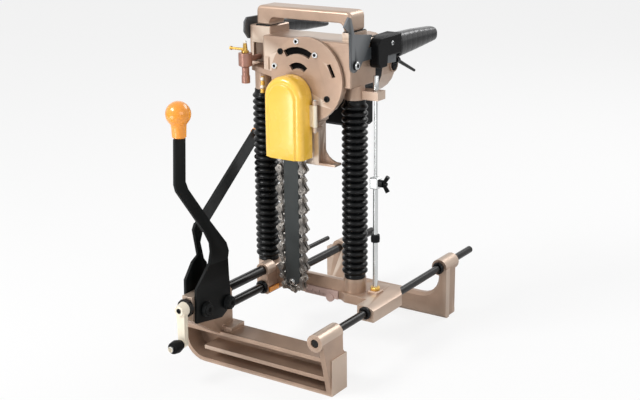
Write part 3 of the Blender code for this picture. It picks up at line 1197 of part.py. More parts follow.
def toothed(radius, depth, teeth, centre, front, back):
    """A wheel with straight-sided teeth, its axis along Y."""
    points = []
    for i in range(teeth):
        for share, out in TOOTH_shares:
            angle = 2 * math.pi * (i + share) / teeth
            points.append((centre[0] + (radius - depth * (1 - out)) * math.cos(angle),
                           centre[1] + (radius - depth * (1 - out)) * math.sin(angle)))
    return slab(points, "Y", front, back)


def build_drive():
    """Spindle with its sprocket, the large gear on it and the bearing in the cover."""
    pivot = (0, 0, SPINDLE_Z)
    wheel = toothed(SPROCKET_R, GEAR_TOOTH, SPROCKET_TEETH, (0, SPINDLE_Z), SPROCKET_FRONT, SPROCKET_BACK)
    shaft = along_y(0, SPINDLE_Z, SPINDLE_TIP, HEAD_BACK - CASE_WALL, SPINDLE_R, SMALL + 4)
    nut = along_y(0, SPINDLE_Z, SPINDLE_TIP + EDGE, SPROCKET_FRONT - EDGE / 4, SPINDLE_R + EDGE * 2, HEX)
    keep(joined(shaft, wheel, nut), "sprocket_spindle", CHAIN_STEEL, pivot)
    gear = toothed(GEAR_R, GEAR_TOOTH, GEAR_TEETH, (0, SPINDLE_Z), GEAR_FRONT, GEAR_BACK)
    bore = along_y(0, SPINDLE_Z, GEAR_FRONT - OVERRUN, GEAR_BACK + OVERRUN, SPINDLE_R + GAP, SMALL + 4)
    keep(cut(gear, bore), "drive_gear", STEEL, pivot)
    back = HEAD_FRONT - EDGE - GAP * 2 + BEARING_LONG
    front = HEAD_FRONT - COVER_T + GAP
    ring = turned([(SPINDLE_R + GAP, front), (BEARING_R, front), (BEARING_R, back), (SPINDLE_R + GAP, back)][::-1],
                  (0, 0, SPINDLE_Z), "Y")
    keep(ring, "spindle_bearing", STEEL, (0, 0, HEAD_FOOT))


def build_chute():
    """The back plate that carries the bar, with a side wall, a flared foot and the lower knuckle."""
    plate_top = CASE_Z - COVER_R - GAP
    plate = block((-CHUTE_HALF, CHUTE_FRONT, CHUTE_FOOT), (CHUTE_HALF + CHUTE_T, CHUTE_FRONT + CHUTE_T, plate_top))
    roof = block((PAD_LEFT, CHUTE_FRONT + CHUTE_T, CHUTE_TOP - CHUTE_T),
                 (PAD_RIGHT, HEAD_FRONT + HEAD_BACK, CHUTE_TOP))
    shelf = block((PAD_LEFT + EDGE, CHUTE_FRONT + EDGE, plate_top - CHUTE_T),
                  (PAD_RIGHT - EDGE, HEAD_FRONT + HEAD_BACK - EDGE, plate_top - GAP))
    wall = block((CHUTE_HALF, CHUTE_FRONT + EDGE, CHUTE_FOOT + EDGE),
                 (CHUTE_HALF + CHUTE_T - EDGE / 4, CHUTE_BACK, CHUTE_TOP - EDGE))
    lip = [(CHUTE_HALF, CHUTE_FRONT), (CHUTE_OUT, CHUTE_FRONT + EDGE), (CHUTE_OUT, CHUTE_BACK - EDGE),
           (CHUTE_HALF, CHUTE_BACK - EDGE)]
    floor = slab(lip, "Z", CHUTE_FOOT + EDGE / 4, CHUTE_FOOT + CHUTE_T)
    rise = CHUTE_OUT - CHUTE_HALF - CHUTE_T
    gusset = [(CHUTE_HALF + EDGE, CHUTE_FOOT + EDGE), (CHUTE_OUT - EDGE, CHUTE_FOOT + EDGE)]
    gusset += arc((CHUTE_OUT, CHUTE_FOOT + CHUTE_T + rise), rise, 270, 180, 6)
    gusset += [(CHUTE_HALF + EDGE, CHUTE_FOOT + CHUTE_T + rise)]
    web = slab(gusset, "Y", CHUTE_BACK - CHUTE_T * 2, CHUTE_BACK - CHUTE_T)
    mount = block((-MOUNT_HALF, CHAIN_Y + BAR_T / 2 + GAP, MOUNT_LOW), (MOUNT_HALF, CHUTE_FRONT + EDGE, MOUNT_HIGH))
    knuckle = rod((HINGE_X, HINGE_Y, HINGE_FOOT), (HINGE_X, HINGE_Y, HINGE_FOOT + KNUCKLE), HINGE_R, SMALL)
    lug = block((HINGE_X - HINGE_R * LUG_INSET_share, HINGE_Y, HINGE_FOOT + EDGE / 4),
                (HINGE_X + HINGE_R - EDGE / 4, CHUTE_FRONT + CHUTE_T, HINGE_FOOT + KNUCKLE - EDGE / 4))
    tie = block((CHUTE_HALF + EDGE, CHUTE_FRONT + EDGE / 2, HINGE_FOOT + EDGE / 4),
                (HINGE_X + HINGE_R - EDGE / 4, CHUTE_FRONT + CHUTE_T * 2, HINGE_FOOT + KNUCKLE - EDGE / 4))
    body = joined(plate, shelf, roof, wall, floor, web, mount, knuckle, lug, tie)
    tools = [rod((HINGE_X, HINGE_Y, HINGE_FOOT - OVERRUN), (HINGE_X, HINGE_Y, HINGE_FOOT + KNUCKLE + OVERRUN),
                 HINGE_PIN_R + GAP, FEW)]
    keep(cut(body, *tools), "chip_chute", BRONZE, (0, 0, HEAD_FOOT))


def build_bar():
    """The guide bar, with a round nose and the pin of its roller."""
    outline = [(-BAR_HALF, BAR_TOP), (-BAR_HALF, NOSE_Z)] + arc((0, NOSE_Z), BAR_HALF, 180, 360, 12)[1:]
    outline += [(BAR_HALF, BAR_TOP)]
    front, back = CHAIN_Y - BAR_T / 2, CHAIN_Y + BAR_T / 2
    bar = slab(outline, "Y", front, back)
    z = NOSE_Z - NOSE_PIN_DROP
    bar = cut(bar, along_y(0, z, front - OVERRUN, back + OVERRUN, NOSE_PIN_R + GAP, FEW))
    keep(bar, "guide_bar", BAR_STEEL, (0, 0, HEAD_FOOT))
    pin = along_y(0, z, front - GAP - EDGE / 2, back + GAP + EDGE / 2, NOSE_PIN_R, FEW)
    heads = [along_y(0, z, front - GAP - EDGE, front - GAP, NOSE_HEAD_R, SMALL),
             along_y(0, z, back + GAP, back + GAP + EDGE, NOSE_HEAD_R, SMALL)]
    keep(joined(pin, *heads), "bar_nose_pin", STEEL, (0, 0, HEAD_FOOT))


def chain_place(run):
    """Where the pins' line is after a run from the foot of its right-hand side: X, Z and heading."""
    straight = SPINDLE_Z - NOSE_Z
    half_turn = math.pi * PIN_LINE
    run %= 2 * (straight + half_turn)
    if run < straight:
        return Vector((PIN_LINE, NOSE_Z + run))
    run -= straight
    if run < half_turn:
        angle = run / PIN_LINE
        return Vector((PIN_LINE * math.cos(angle), SPINDLE_Z + PIN_LINE * math.sin(angle)))
    run -= half_turn
    if run < straight:
        return Vector((-PIN_LINE, SPINDLE_Z - run))
    angle = math.pi + (run - straight) / PIN_LINE
    return Vector((PIN_LINE * math.cos(angle), NOSE_Z + PIN_LINE * math.sin(angle)))


def build_chain():
    """The saw chain: inner links and pairs of outer links in turn, each with its cutter, on pins."""
    length = 2 * (SPINDLE_Z - NOSE_Z) + 2 * math.pi * PIN_LINE
    count = 2 * round(length / CHAIN_PITCH / 2)
    pins = [chain_place(length * i / count) for i in range(count)]
    pin_end = CHAIN_WIDE / 2 - PLY / 2
    pieces = []
    for i, start in enumerate(pins):
        end = pins[(i + 1) % count]
        along = end - start
        outward = Vector((along.y, -along.x)).normalized() * LINK_HALF
        outline = [tuple(start + along * u + outward * v) for u, v in LINK_shares]
        if i % 2:
            for side in (-1, 1):
                low = CHAIN_Y + side * (PLY / 2 + PLY_GAP)
                high = CHAIN_Y + side * (CHAIN_WIDE / 2 - PLY_GAP)
                pieces.append(slab(outline, "Y", min(low, high), max(low, high)))
        else:
            pieces.append(slab(outline, "Y", CHAIN_Y - PLY / 2, CHAIN_Y + PLY / 2))
        pieces.append(along_y(*start, CHAIN_Y - pin_end, CHAIN_Y + pin_end, CHAIN_PIN_R, SQUARE))
    others = bpy.data.collections.new("chain_links")
    bpy.context.scene.collection.children.link(others)
    for piece in pieces[1:]:
        CUTTERS.objects.unlink(piece)
        others.objects.link(piece)
    step = pieces[0].modifiers.new("links", "BOOLEAN")
    step.operation = "UNION"
    step.solver = "EXACT"
    step.operand_type = "COLLECTION"
    step.collection = others
    chain = baked(pieces[0])
    for piece in list(others.objects):
        bpy.data.objects.remove(piece, do_unlink=True)
    bpy.data.collections.remove(others)
    keep(chain, "saw_chain", CHAIN_STEEL, (0, 0, HEAD_FOOT))


def arch(half, low, centre_z, count=10):
    return [(half, low)] + arc((0, centre_z), half, 0, 180, count) + [(-half, low)]


def build_chain_cover():
    """The yellow cover over the top of the chain, open below and behind, on a side hinge."""
    soft = PANEL_IN * BEVEL_share
    shell = slab(arch(COVER_HALF, YELLOW_BOTTOM - soft, SPINDLE_Z), "Y", YELLOW_FRONT, YELLOW_BACK + soft)
    panel = slab(arch(COVER_HALF - PANEL_IN, YELLOW_BOTTOM + EDGE, SPINDLE_Z), "Y", YELLOW_FRONT - PANEL_OUT,
                 YELLOW_FRONT + EDGE)
    work = shell.modifiers.new("front", "BEVEL")
    work.width = soft
    work.segments = 2
    work.limit_method = "ANGLE"
    work.angle_limit = math.radians(60)
    shell = baked(shell)
    side, reach = COVER_HALF + OVERRUN, soft + OVERRUN
    shell = cut(shell, block((-side, YELLOW_FRONT - OVERRUN, YELLOW_BOTTOM - reach),
                             (side, YELLOW_BACK + reach + OVERRUN, YELLOW_BOTTOM)),
                block((-side, YELLOW_BACK, YELLOW_BOTTOM - reach * 2), (side, YELLOW_BACK + reach, SPINDLE_Z + side)))
    inner = slab(arch(COVER_HALF - YELLOW_SHELL, YELLOW_BOTTOM - OVERRUN, SPINDLE_Z), "Y",
                 YELLOW_FRONT + YELLOW_SHELL, YELLOW_BACK + OVERRUN)
    top = HINGE_TOP - KNUCKLE - GAP
    foot = HINGE_FOOT + KNUCKLE + GAP
    knuckle = rod((HINGE_X, HINGE_Y, foot), (HINGE_X, HINGE_Y, top), HINGE_R, SMALL)
    tab = block((COVER_HALF - YELLOW_SHELL / 2, HINGE_Y - EDGE, foot + EDGE / 4),
                (HINGE_X, HINGE_Y + EDGE, top - EDGE / 4))
    shell = cut(joined(shell, panel), inner)
    shell = joined(shell, tab, knuckle)
    shell = cut(shell, rod((HINGE_X, HINGE_Y, foot - OVERRUN), (HINGE_X, HINGE_Y, top + OVERRUN),
                           HINGE_PIN_R + GAP, FEW))
    keep(shell, "chain_cover", YELLOW, (HINGE_X, HINGE_Y, HINGE_FOOT))
    pin = rod((HINGE_X, HINGE_Y, HINGE_FOOT - EDGE), (HINGE_X, HINGE_Y, HINGE_TOP + EDGE), HINGE_PIN_R, FEW)
    head = rod((HINGE_X, HINGE_Y, HINGE_TOP + GAP), (HINGE_X, HINGE_Y, HINGE_TOP + EDGE + GAP),
               HINGE_PIN_R + EDGE, FEW)
    keep(joined(pin, head), "hinge_pin", STEEL, (0, 0, HEAD_FOOT))


def build_oiler():
    pivot = (0, 0, HEAD_FOOT)
    profile = [(0, NUT_LOW), (NUT_HALF, NUT_LOW), (NUT_HALF, STEM_LOW), (STEM_HALF, STEM_LOW),
               (STEM_HALF, CUP_LOW), (CUP_R, CUP_LOW + EDGE * 2), (CUP_R, CUP_TOP), (0, CUP_TOP)]
    cup = turned(profile[::-1], (OILER_X, OILER_Y, 0), "Z", ROUND)
    pipe = rod((OILER_X, OILER_Y, PIPE_Z), (OILER_X, LEFT_FRONT + RECESS_DEEP - GAP, PIPE_Z), PIPE_R, SMALL)
    keep(joined(cup, pipe), "oiler_cup", COPPER, pivot)
    start = CUP_TOP + GAP
    stem = rod((OILER_X, OILER_Y, start), (OILER_X, OILER_Y, VALVE_TOP), VALVE_HALF, SMALL, VALVE_HALF - EDGE)
    cap = rod((OILER_X, OILER_Y, start), (OILER_X, OILER_Y, start + EDGE * 2), VALVE_HALF + EDGE, SMALL)
    arm = rod((OILER_X, OILER_Y, ARM_Z), (ARM_END, OILER_Y, ARM_Z), VALVE_HALF / 2, FEW)
    tip = rod((ARM_END + EDGE, OILER_Y, ARM_Z), (ARM_END - EDGE, OILER_Y, ARM_Z), VALVE_HALF * ARM_TIP_share, FEW)
    keep(joined(stem, cap, arm, tip), "oiler_valve", BRASS, (OILER_X, OILER_Y, CUP_TOP))


build_near_jaw()
build_rods()
build_far_jaw()
build_clamp_lever()
build_lock_lever()
build_lever_shaft()
build_crank()
build_carriage()
build_columns()
build_depth_gauge()
build_head_casting()
build_gear_cover()
build_carry_handle()
for plate_side, plate_name in ((-1, "left"), (1, "right")):
    build_side_plate(plate_side, plate_name)
build_handles()
build_motor()
build_drive()
build_chute()
build_bar()
build_chain()
build_chain_cover()
build_oiler()

for parts_left in list(CUTTERS.objects):
    bpy.data.objects.remove(parts_left, do_unlink=True)
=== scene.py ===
"""The looks of the chain mortiser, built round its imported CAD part.

Metres, X along the jaws, Y away from the viewer, Z up. A name that ends in share or shares is a ratio.
"""
import math

import bmesh
import bpy
from mathutils import Matrix, Vector

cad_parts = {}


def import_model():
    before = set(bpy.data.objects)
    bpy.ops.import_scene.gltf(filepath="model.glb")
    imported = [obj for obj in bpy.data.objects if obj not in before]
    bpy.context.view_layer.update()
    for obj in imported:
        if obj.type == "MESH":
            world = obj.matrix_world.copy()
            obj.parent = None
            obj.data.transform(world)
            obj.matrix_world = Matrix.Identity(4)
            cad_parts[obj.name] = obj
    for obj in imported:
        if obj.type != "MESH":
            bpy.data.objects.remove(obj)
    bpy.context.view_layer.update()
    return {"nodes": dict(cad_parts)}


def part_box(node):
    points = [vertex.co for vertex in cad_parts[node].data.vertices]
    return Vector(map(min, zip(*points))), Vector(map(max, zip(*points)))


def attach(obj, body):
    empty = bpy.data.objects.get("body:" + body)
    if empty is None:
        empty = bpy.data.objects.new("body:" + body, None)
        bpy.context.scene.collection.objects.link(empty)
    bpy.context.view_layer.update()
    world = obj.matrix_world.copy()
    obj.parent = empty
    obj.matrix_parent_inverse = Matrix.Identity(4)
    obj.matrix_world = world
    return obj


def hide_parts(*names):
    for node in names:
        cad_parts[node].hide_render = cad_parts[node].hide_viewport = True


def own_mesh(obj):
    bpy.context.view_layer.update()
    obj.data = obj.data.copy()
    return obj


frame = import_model()
NODES = frame["nodes"]

# Camera, solved from the photograph; angles in degrees
PHOTO_WIDE = 640
FOCAL_PX = 1197.1
SENSOR_MM = 36.0
CAMERA_PLACE = (0.79598, -1.17089, 0.54158)
CAMERA_YAW = -33.72
CAMERA_PITCH = 16.70
CAMERA_ROLL = -0.56
CAMERA_NEAR = 0.01
CAMERA_FAR = 50

# Studio: a pale floor, a white world and four lamps
FLOOR_Z = -0.0657
FLOOR_HALF = 12.0
FLOOR_WHITE = 248
FLOOR_ROUGH_share = 0.9
FLOOR_SHINE_share = 0.1
FLOOR_GLOW_share = 0.8
WORLD_SEEN_share = 1.0
WORLD_LIGHT_share = 0.40
LAMP_TALL_share = 0.7
LAMPS = (       # name, place, aim, width, watts
    ("key", (-0.7, -1.3, 1.4), (0, 0, 0.12), 0.7, 21.5),
    ("fill", (1.7, -0.8, 0.8), (0, 0, 0.12), 1.0, 6),
    ("low", (-0.35, -1.05, 0.02), (0.02, -0.11, -0.055), 0.35, 2.4),
    ("rim", (0.5, 1.4, 1.4), (0, 0, 0.15), 1.0, 12),
)

# General finish of edges and round pieces; angles in degrees
EDGE_FINE = 0.00035
EDGE_CAST = 0.0009
EDGE_ANGLE = 32.0
FLAT_ANGLE = 0.6
WELD = 0.00002
AROUND = 48
ROUND = 32
SMALL = 24
HEX = 6

# The part's own places, as in its source
ROD_LEFT_X = -0.051
COLUMN_X = 0.065
DEPTH_X = 0.090
DEPTH_Y = 0.0065
CHAIN_Y = -0.038
CHAIN_PITCH = 0.0125
CHAIN_WIDE = 0.0104
BAR_HALF = 0.0107
NOSE_Z = 0.0284
SPINDLE_Z = 0.253
LOCK_ELBOW = (-0.1470, 0.1082)
LOCK_END = (0.0330, 0.1795)
LOCK_OUT_X = -0.107

# What all finishes share
COAT_ROUGH_share = 0.12
NOISE_LOW_share = 0.35
NOISE_HIGH_share = 0.65
NOISE_DEEP = 4
GRAIN_DEEP = 3
GRAIN_share = 0.5
# How dark the hollows get: partly dirt, partly painted shade
HOLLOW_DIRT_AND_SHADE_share = 0.25
HOLLOW_shares = (0.42, 0.49)
# How far the edges lighten: partly wear, partly a painted highlight
WORN_AND_LIT_share = 0.75
RIDGE_shares = (0.53, 0.60)
GLOSSY_share = 0.85
DULL_share = 1.18
RELIEF_share = 0.6
CLOUD = 0.030


def linear(red, green, blue):
    """A colour read as 0 to 255 values, as the shader's own linear values."""
    channels = [value / 255 for value in (red, green, blue)]
    return [c / 12.92 if c <= 0.04045 else ((c + 0.055) / 1.055) ** 2.4 for c in channels] + [1.0]


def painted(name, colour, rough, metal=0.0, coat=0.0, vary=0.10, grain=0.0012, bump=0.00008, edge_wear_and_highlight=None,
            hollow_dirt_and_shade=0.0, shine=0.5):
    """A material with clouded colour, uneven gloss, a fine grain, edges lighter from wear and a painted
    highlight, and corners darker from dirt and painted shade.
    """
    made = bpy.data.materials.new(name)
    made.use_nodes = True
    tree = made.node_tree
    shader = tree.nodes["Principled BSDF"]
    shader.inputs["Metallic"].default_value = metal
    shader.inputs["Coat Weight"].default_value = coat
    shader.inputs["Coat Roughness"].default_value = COAT_ROUGH_share
    shader.inputs["Specular IOR Level"].default_value = shine
    place = tree.nodes.new("ShaderNodeTexCoord").outputs["Object"]

    def noise(size, detail):
        made_noise = tree.nodes.new("ShaderNodeTexNoise")
        made_noise.inputs["Scale"].default_value = 1 / size
        made_noise.inputs["Detail"].default_value = detail
        tree.links.new(place, made_noise.inputs["Vector"])
        return made_noise.outputs["Fac"]

    def spread(source, low, high, start=NOISE_LOW_share, end=NOISE_HIGH_share):
        ranged = tree.nodes.new("ShaderNodeMapRange")
        ranged.inputs["From Min"].default_value = start
        ranged.inputs["From Max"].default_value = end
        ranged.inputs["To Min"].default_value = low
        ranged.inputs["To Max"].default_value = high
        tree.links.new(source, ranged.inputs["Value"])
        return ranged.outputs["Result"]

    def blend(factor, first, second):
        mix = tree.nodes.new("ShaderNodeMix")
        mix.data_type = "RGBA"
        tree.links.new(factor, mix.inputs["Factor"])
        for socket, value in ((mix.inputs[6], first), (mix.inputs[7], second)):
            if isinstance(value, list):
                socket.default_value = value
            else:
                tree.links.new(value, socket)
        return mix.outputs[2]

    darker = [c * (1 - vary) for c in colour[:3]] + [1.0]
    lighter = [min(1.0, c * (1 + vary)) for c in colour[:3]] + [1.0]
    cloudy = noise(CLOUD, NOISE_DEEP)
    shade = blend(spread(cloudy, 0, 1), darker, lighter)
    fine = noise(grain, GRAIN_DEEP)
    shade = blend(spread(fine, 0, GRAIN_share), shade, colour)
    corners = tree.nodes.new("ShaderNodeNewGeometry").outputs["Pointiness"]
    # Darker in the hollows: partly dirt, partly painted shade where shade falls in corners
    if hollow_dirt_and_shade:
        hollow_dark_colour = [c * HOLLOW_DIRT_AND_SHADE_share for c in colour[:3]] + [1.0]
        shade = blend(spread(corners, hollow_dirt_and_shade, 0, *HOLLOW_shares), shade, hollow_dark_colour)
    # Lighter on the edges and ridges: partly wear, partly a painted highlight along them
    if edge_wear_and_highlight:
        shade = blend(spread(corners, 0, WORN_AND_LIT_share, *RIDGE_shares), shade, edge_wear_and_highlight)
    tree.links.new(shade, shader.inputs["Base Color"])
    tree.links.new(spread(cloudy, rough * GLOSSY_share, rough * DULL_share), shader.inputs["Roughness"])
    relief = tree.nodes.new("ShaderNodeBump")
    relief.inputs["Distance"].default_value = bump
    relief.inputs["Strength"].default_value = RELIEF_share
    tree.links.new(fine, relief.inputs["Height"])
    tree.links.new(relief.outputs["Normal"], shader.inputs["Normal"])
    return made


FINISHES = {
    "bronze_paint": painted("bronze_cast_paint", linear(170, 144, 125), 0.38, metal=0.50, coat=0.12,
                            grain=0.0014, bump=0.00014, edge_wear_and_highlight=linear(222, 206, 190), hollow_dirt_and_shade=0.8, vary=0.13),
    "black_plastic": painted("black_moulding", linear(8, 8, 9), 0.42, grain=0.0009, bump=0.00012,
                             edge_wear_and_highlight=linear(26, 27, 29), shine=0.10),
    "black_rubber": painted("black_gaiter", linear(4, 5, 6), 0.26, grain=0.0016, bump=0.00006,
                            edge_wear_and_highlight=linear(26, 27, 29), shine=0.20),
    "grip_rubber": painted("smooth_grip", linear(15, 16, 18), 0.24, grain=0.0014, bump=0.00005,
                           edge_wear_and_highlight=linear(44, 46, 50), shine=0.5),
    "black_steel": painted("blackened_steel", linear(5, 7, 7), 0.34, grain=0.0010, bump=0.00005,
                           edge_wear_and_highlight=linear(44, 46, 47), shine=0.10),
    "rod_steel": painted("black_rod_steel", linear(34, 33, 32), 0.24, metal=0.55, grain=0.0010,
                         bump=0.00003, shine=0.4),
    "grey_paint": painted("grey_paint", linear(62, 66, 69), 0.42, metal=0.15, grain=0.0012, bump=0.00008,
                          edge_wear_and_highlight=linear(130, 132, 134), shine=0.4),
    "steel": painted("zinc_steel", linear(206, 208, 208), 0.24, metal=0.95, grain=0.0016, bump=0.00003,
                     vary=0.06, hollow_dirt_and_shade=0.4),
    "chain_steel": painted("oiled_chain_steel", linear(98, 94, 91), 0.30, metal=0.85, grain=0.0012,
                           bump=0.00005, edge_wear_and_highlight=linear(206, 200, 192), hollow_dirt_and_shade=0.9),
    "bar_steel": painted("dark_bar_steel", linear(66, 69, 69), 0.38, metal=0.60, grain=0.0010,
                         bump=0.00004, vary=0.10, hollow_dirt_and_shade=0.4, shine=0.3),
    "yellow_plastic": painted("yellow_cover", linear(253, 202, 74), 0.26, coat=0.6, vary=0.03,
                              grain=0.0020, bump=0.00002),
    "orange_plastic": painted("orange_knob", linear(247, 156, 40), 0.27, coat=0.6, vary=0.04,
                              grain=0.0020, bump=0.00002),
    "cream_zinc": painted("cream_casting", linear(238, 228, 208), 0.40, metal=0.15, grain=0.0012,
                          bump=0.00008, vary=0.05, hollow_dirt_and_shade=0.5),
    "pink_scale": painted("pink_scale", linear(184, 158, 150), 0.45, metal=0.20, grain=0.0012,
                          bump=0.00006, vary=0.05, hollow_dirt_and_shade=0.4),
    "brass": painted("brass", linear(206, 166, 88), 0.28, metal=0.90, grain=0.0014, bump=0.00003, hollow_dirt_and_shade=0.5),
    "winding": painted("copper_winding", linear(170, 96, 62), 0.40, metal=0.8, grain=0.0008, bump=0.00010),
    "copper_paint": painted("copper_paint", linear(164, 122, 108), 0.36, metal=0.40, grain=0.0012,
                            bump=0.00006, vary=0.10, hollow_dirt_and_shade=0.6),
    # Black for the scale's printed lines, and painted shade in the screws' sockets and behind the gear
    # cover's slots
    "print_and_painted_shade_black": painted("print_and_painted_shade_black", linear(5, 5, 5), 0.80, grain=0.0010, bump=0.00005, shine=0.1),
    # Near white, for the small balls that are painted highlights on the oiler and its fitting
    "painted_glint_white": painted("painted_glint_white", linear(238, 236, 230), 0.35, vary=0.03, grain=0.0012,
                            bump=0.00003),
}


def shading(whole):
    """Nodes that shade a mesh smoothly up to an angle; a whole tree first joins the CAD's loose triangles."""
    tree = bpy.data.node_groups.new("shade_joined" if whole else "shade_edges", "GeometryNodeTree")
    tree.interface.new_socket("Geometry", in_out="INPUT", socket_type="NodeSocketGeometry")
    tree.interface.new_socket("Geometry", in_out="OUTPUT", socket_type="NodeSocketGeometry")
    start = tree.nodes.new("NodeGroupInput")
    last = start.outputs[0]
    if whole:
        merge = tree.nodes.new("GeometryNodeMergeByDistance")
        merge.inputs["Distance"].default_value = WELD
        tree.links.new(last, merge.inputs[0])
        forget = tree.nodes.new("GeometryNodeRemoveAttribute")
        forget.inputs["Name"].default_value = "custom_normal"
        tree.links.new(merge.outputs[0], forget.inputs[0])
        last = forget.outputs[0]
    soft = tree.nodes.new("GeometryNodeSetShadeSmooth")
    soft.domain = "FACE"
    soft.inputs["Shade Smooth"].default_value = True
    tree.links.new(last, soft.inputs[0])
    edge = tree.nodes.new("GeometryNodeInputMeshEdgeAngle")
    sharp = tree.nodes.new("FunctionNodeCompare")
    sharp.data_type = "FLOAT"
    sharp.operation = "GREATER_THAN"
    sharp.inputs[1].default_value = math.radians(EDGE_ANGLE)
    tree.links.new(edge.outputs["Unsigned Angle"], sharp.inputs[0])
    hard = tree.nodes.new("GeometryNodeSetShadeSmooth")
    hard.domain = "EDGE"
    hard.inputs["Shade Smooth"].default_value = False
    tree.links.new(soft.outputs[0], hard.inputs[0])
    tree.links.new(sharp.outputs[0], hard.inputs["Selection"])
    end = tree.nodes.new("NodeGroupOutput")
    tree.links.new(hard.outputs[0], end.inputs[0])
    return tree


SHADE_JOINED = shading(True)
SHADE_EDGES = shading(False)


def softened(obj, width, segments):
    """Rounds the edges of a piece and shades its gentle bends smoothly."""
    if width:
        bevel = obj.modifiers.new("edges", "BEVEL")
        bevel.width = width
        bevel.segments = segments
        bevel.limit_method = "ANGLE"
        bevel.angle_limit = math.radians(EDGE_ANGLE)
        bevel.use_clamp_overlap = True
    shade = obj.modifiers.new("shade", "NODES")
    shade.node_group = SHADE_EDGES


def coated(obj, finish):
    """Gives every face of a piece one finish."""
    while obj.data.materials:
        obj.data.materials.pop()
    obj.data.materials.append(FINISHES[finish])


def dress(node, finish, width):
    """A CAD node that stays: its triangles joined, its edges rounded, and a real finish."""
    obj = NODES[node]
    join = obj.modifiers.new("join", "NODES")
    join.node_group = SHADE_JOINED
    flat = obj.modifiers.new("flat", "DECIMATE")
    flat.decimate_type = "DISSOLVE"
    flat.angle_limit = math.radians(FLAT_ANGLE)
    softened(obj, width, 2)
    coated(obj, finish)


def piece(name, work, body, finish, stands_for=(), width=0.0, segments=2):
    """A new piece from a bmesh: it rides on a body, takes a finish and may stand for CAD nodes."""
    bmesh.ops.recalc_face_normals(work, faces=work.faces[:])
    mesh = bpy.data.meshes.new(name)
    work.to_mesh(mesh)
    work.free()
    obj = bpy.data.objects.new(name, mesh)
    bpy.context.scene.collection.objects.link(obj)
    softened(obj, width, segments)
    coated(obj, finish)
    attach(obj, body)
    if stands_for:
        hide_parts(*stands_for)
    return obj


def ring_faces(work, rings, closed=True, caps=True):
    """Faces between rings of vertices that follow each other."""
    made = [[work.verts.new(point) for point in ring] for ring in rings]
    count = len(made[0])
    for below, above in zip(made, made[1:]):
        for i in range(count if closed else count - 1):
            j = (i + 1) % count
            work.faces.new((below[i], below[j], above[j], above[i]))
    if caps:
        work.faces.new(made[0][::-1])
        work.faces.new(made[-1])
    return made


def turned(work, profile, centre, axis, around=AROUND):
    """A closed profile of (radius, height) pairs turned about an axis through a centre."""
    turn = Vector(axis).to_track_quat("Z", "Y").to_matrix()
    centre = Vector(centre)
    steps = [2 * math.pi * i / around for i in range(around)]
    rings = []
    for radius, height in profile:
        ring = [Vector((radius * math.cos(t), radius * math.sin(t), height)) for t in steps]
        if not radius:
            ring = ring[:1]
        rings.append([work.verts.new(centre + turn @ point) for point in ring])
    for i, ring in enumerate(rings):
        before = rings[i - 1]
        if len(before) == 1 and len(ring) == 1:
            continue
        for k in range(around):
            m = (k + 1) % around
            if len(before) == 1:
                work.faces.new((before[0], ring[m], ring[k]))
            elif len(ring) == 1:
                work.faces.new((before[k], before[m], ring[0]))
            else:
                work.faces.new((before[k], before[m], ring[m], ring[k]))
    return work


def rod_profile(radius, low, high, chamfer=0.0):
    """The profile of a plain disc or rod from low to high, with its top edge cut off."""
    if chamfer:
        return [(0, low), (radius, low), (radius, high - chamfer), (radius - chamfer, high), (0, high)]
    return [(0, low), (radius, low), (radius, high), (0, high)]


def prism(work, outline, axis, low, high):
    """An outline in the two other axes, made solid from low to high along an axis."""
    place = {
        "X": lambda u, v, w: (w, u, v),
        "Y": lambda u, v, w: (u, w, v),
        "Z": lambda u, v, w: (u, v, w),
    }[axis]
    ring_faces(work, [[place(u, v, w) for u, v in outline] for w in (low, high)])
    return work


def oblong(left, right, low, high):
    """The four corners of a rectangle."""
    return [(left, low), (right, low), (right, high), (left, high)]


def arc(centre, radius, start, end, count):
    """Points on an arc, from one angle in degrees to another."""
    turns = [math.radians(start + (end - start) * i / count) for i in range(count + 1)]
    return [(centre[0] + radius * math.cos(t), centre[1] + radius * math.sin(t)) for t in turns]


# The CAD nodes that stay, with their finish and the rounding of their edges
KEPT = {
    "bronze_paint": (EDGE_CAST, ("near_jaw", "far_jaw", "carriage", "head_casting", "gear_cover",
                                 "carry_handle", "motor_cover", "chip_chute")),
    "black_plastic": (EDGE_CAST, ("switch_housing", "motor_housing", "brush_cap_left", "brush_cap_right",
                                  "crank_knob")),
    "rod_steel": (EDGE_FINE, ("guide_rod_left", "guide_rod_right", "lead_screw")),
    "pink_scale": (EDGE_CAST / 2, ("scale_plate",)),
    "black_rubber": (EDGE_FINE, ("far_jaw_wiper", "carriage_wiper_left", "carriage_wiper_right",
                                 "cord_guard")),
    "black_steel": (EDGE_CAST / 2, ("clamp_lever", "lock_lever", "lever_shaft", "clamp_lever_pin",
                                    "side_bolt_left", "side_bolt_right", "depth_wing_screw")),
    "grey_paint": (EDGE_CAST / 2, ("side_plate_left", "side_plate_right", "trigger")),
    "steel": (EDGE_FINE, ("column_left", "column_right", "head_rod_left", "head_rod_right", "depth_pole",
                          "depth_pole_nut", "depth_stop", "bar_nose_pin", "hinge_pin", "spindle_bearing",
                          "motor_bearing", "drive_gear")),
    "chain_steel": (EDGE_FINE, ("sprocket_spindle",)),
    "bar_steel": (EDGE_FINE, ("guide_bar",)),
    "cream_zinc": (EDGE_CAST / 2, ("crank_arm",)),
    "orange_plastic": (EDGE_FINE, ("sight_plate",)),
    "copper_paint": (EDGE_CAST / 2, ("oiler_cup",)),
    "brass": (EDGE_FINE, ("oiler_valve",)),
    "winding": (EDGE_FINE, ("motor_armature",)),
}
for finish_name, (edge_width, node_names) in KEPT.items():
    for node_name in node_names:
        dress(node_name, finish_name, edge_width)


# Knobs: a ball on a tapered neck; the profile is given in shares of the ball's radius

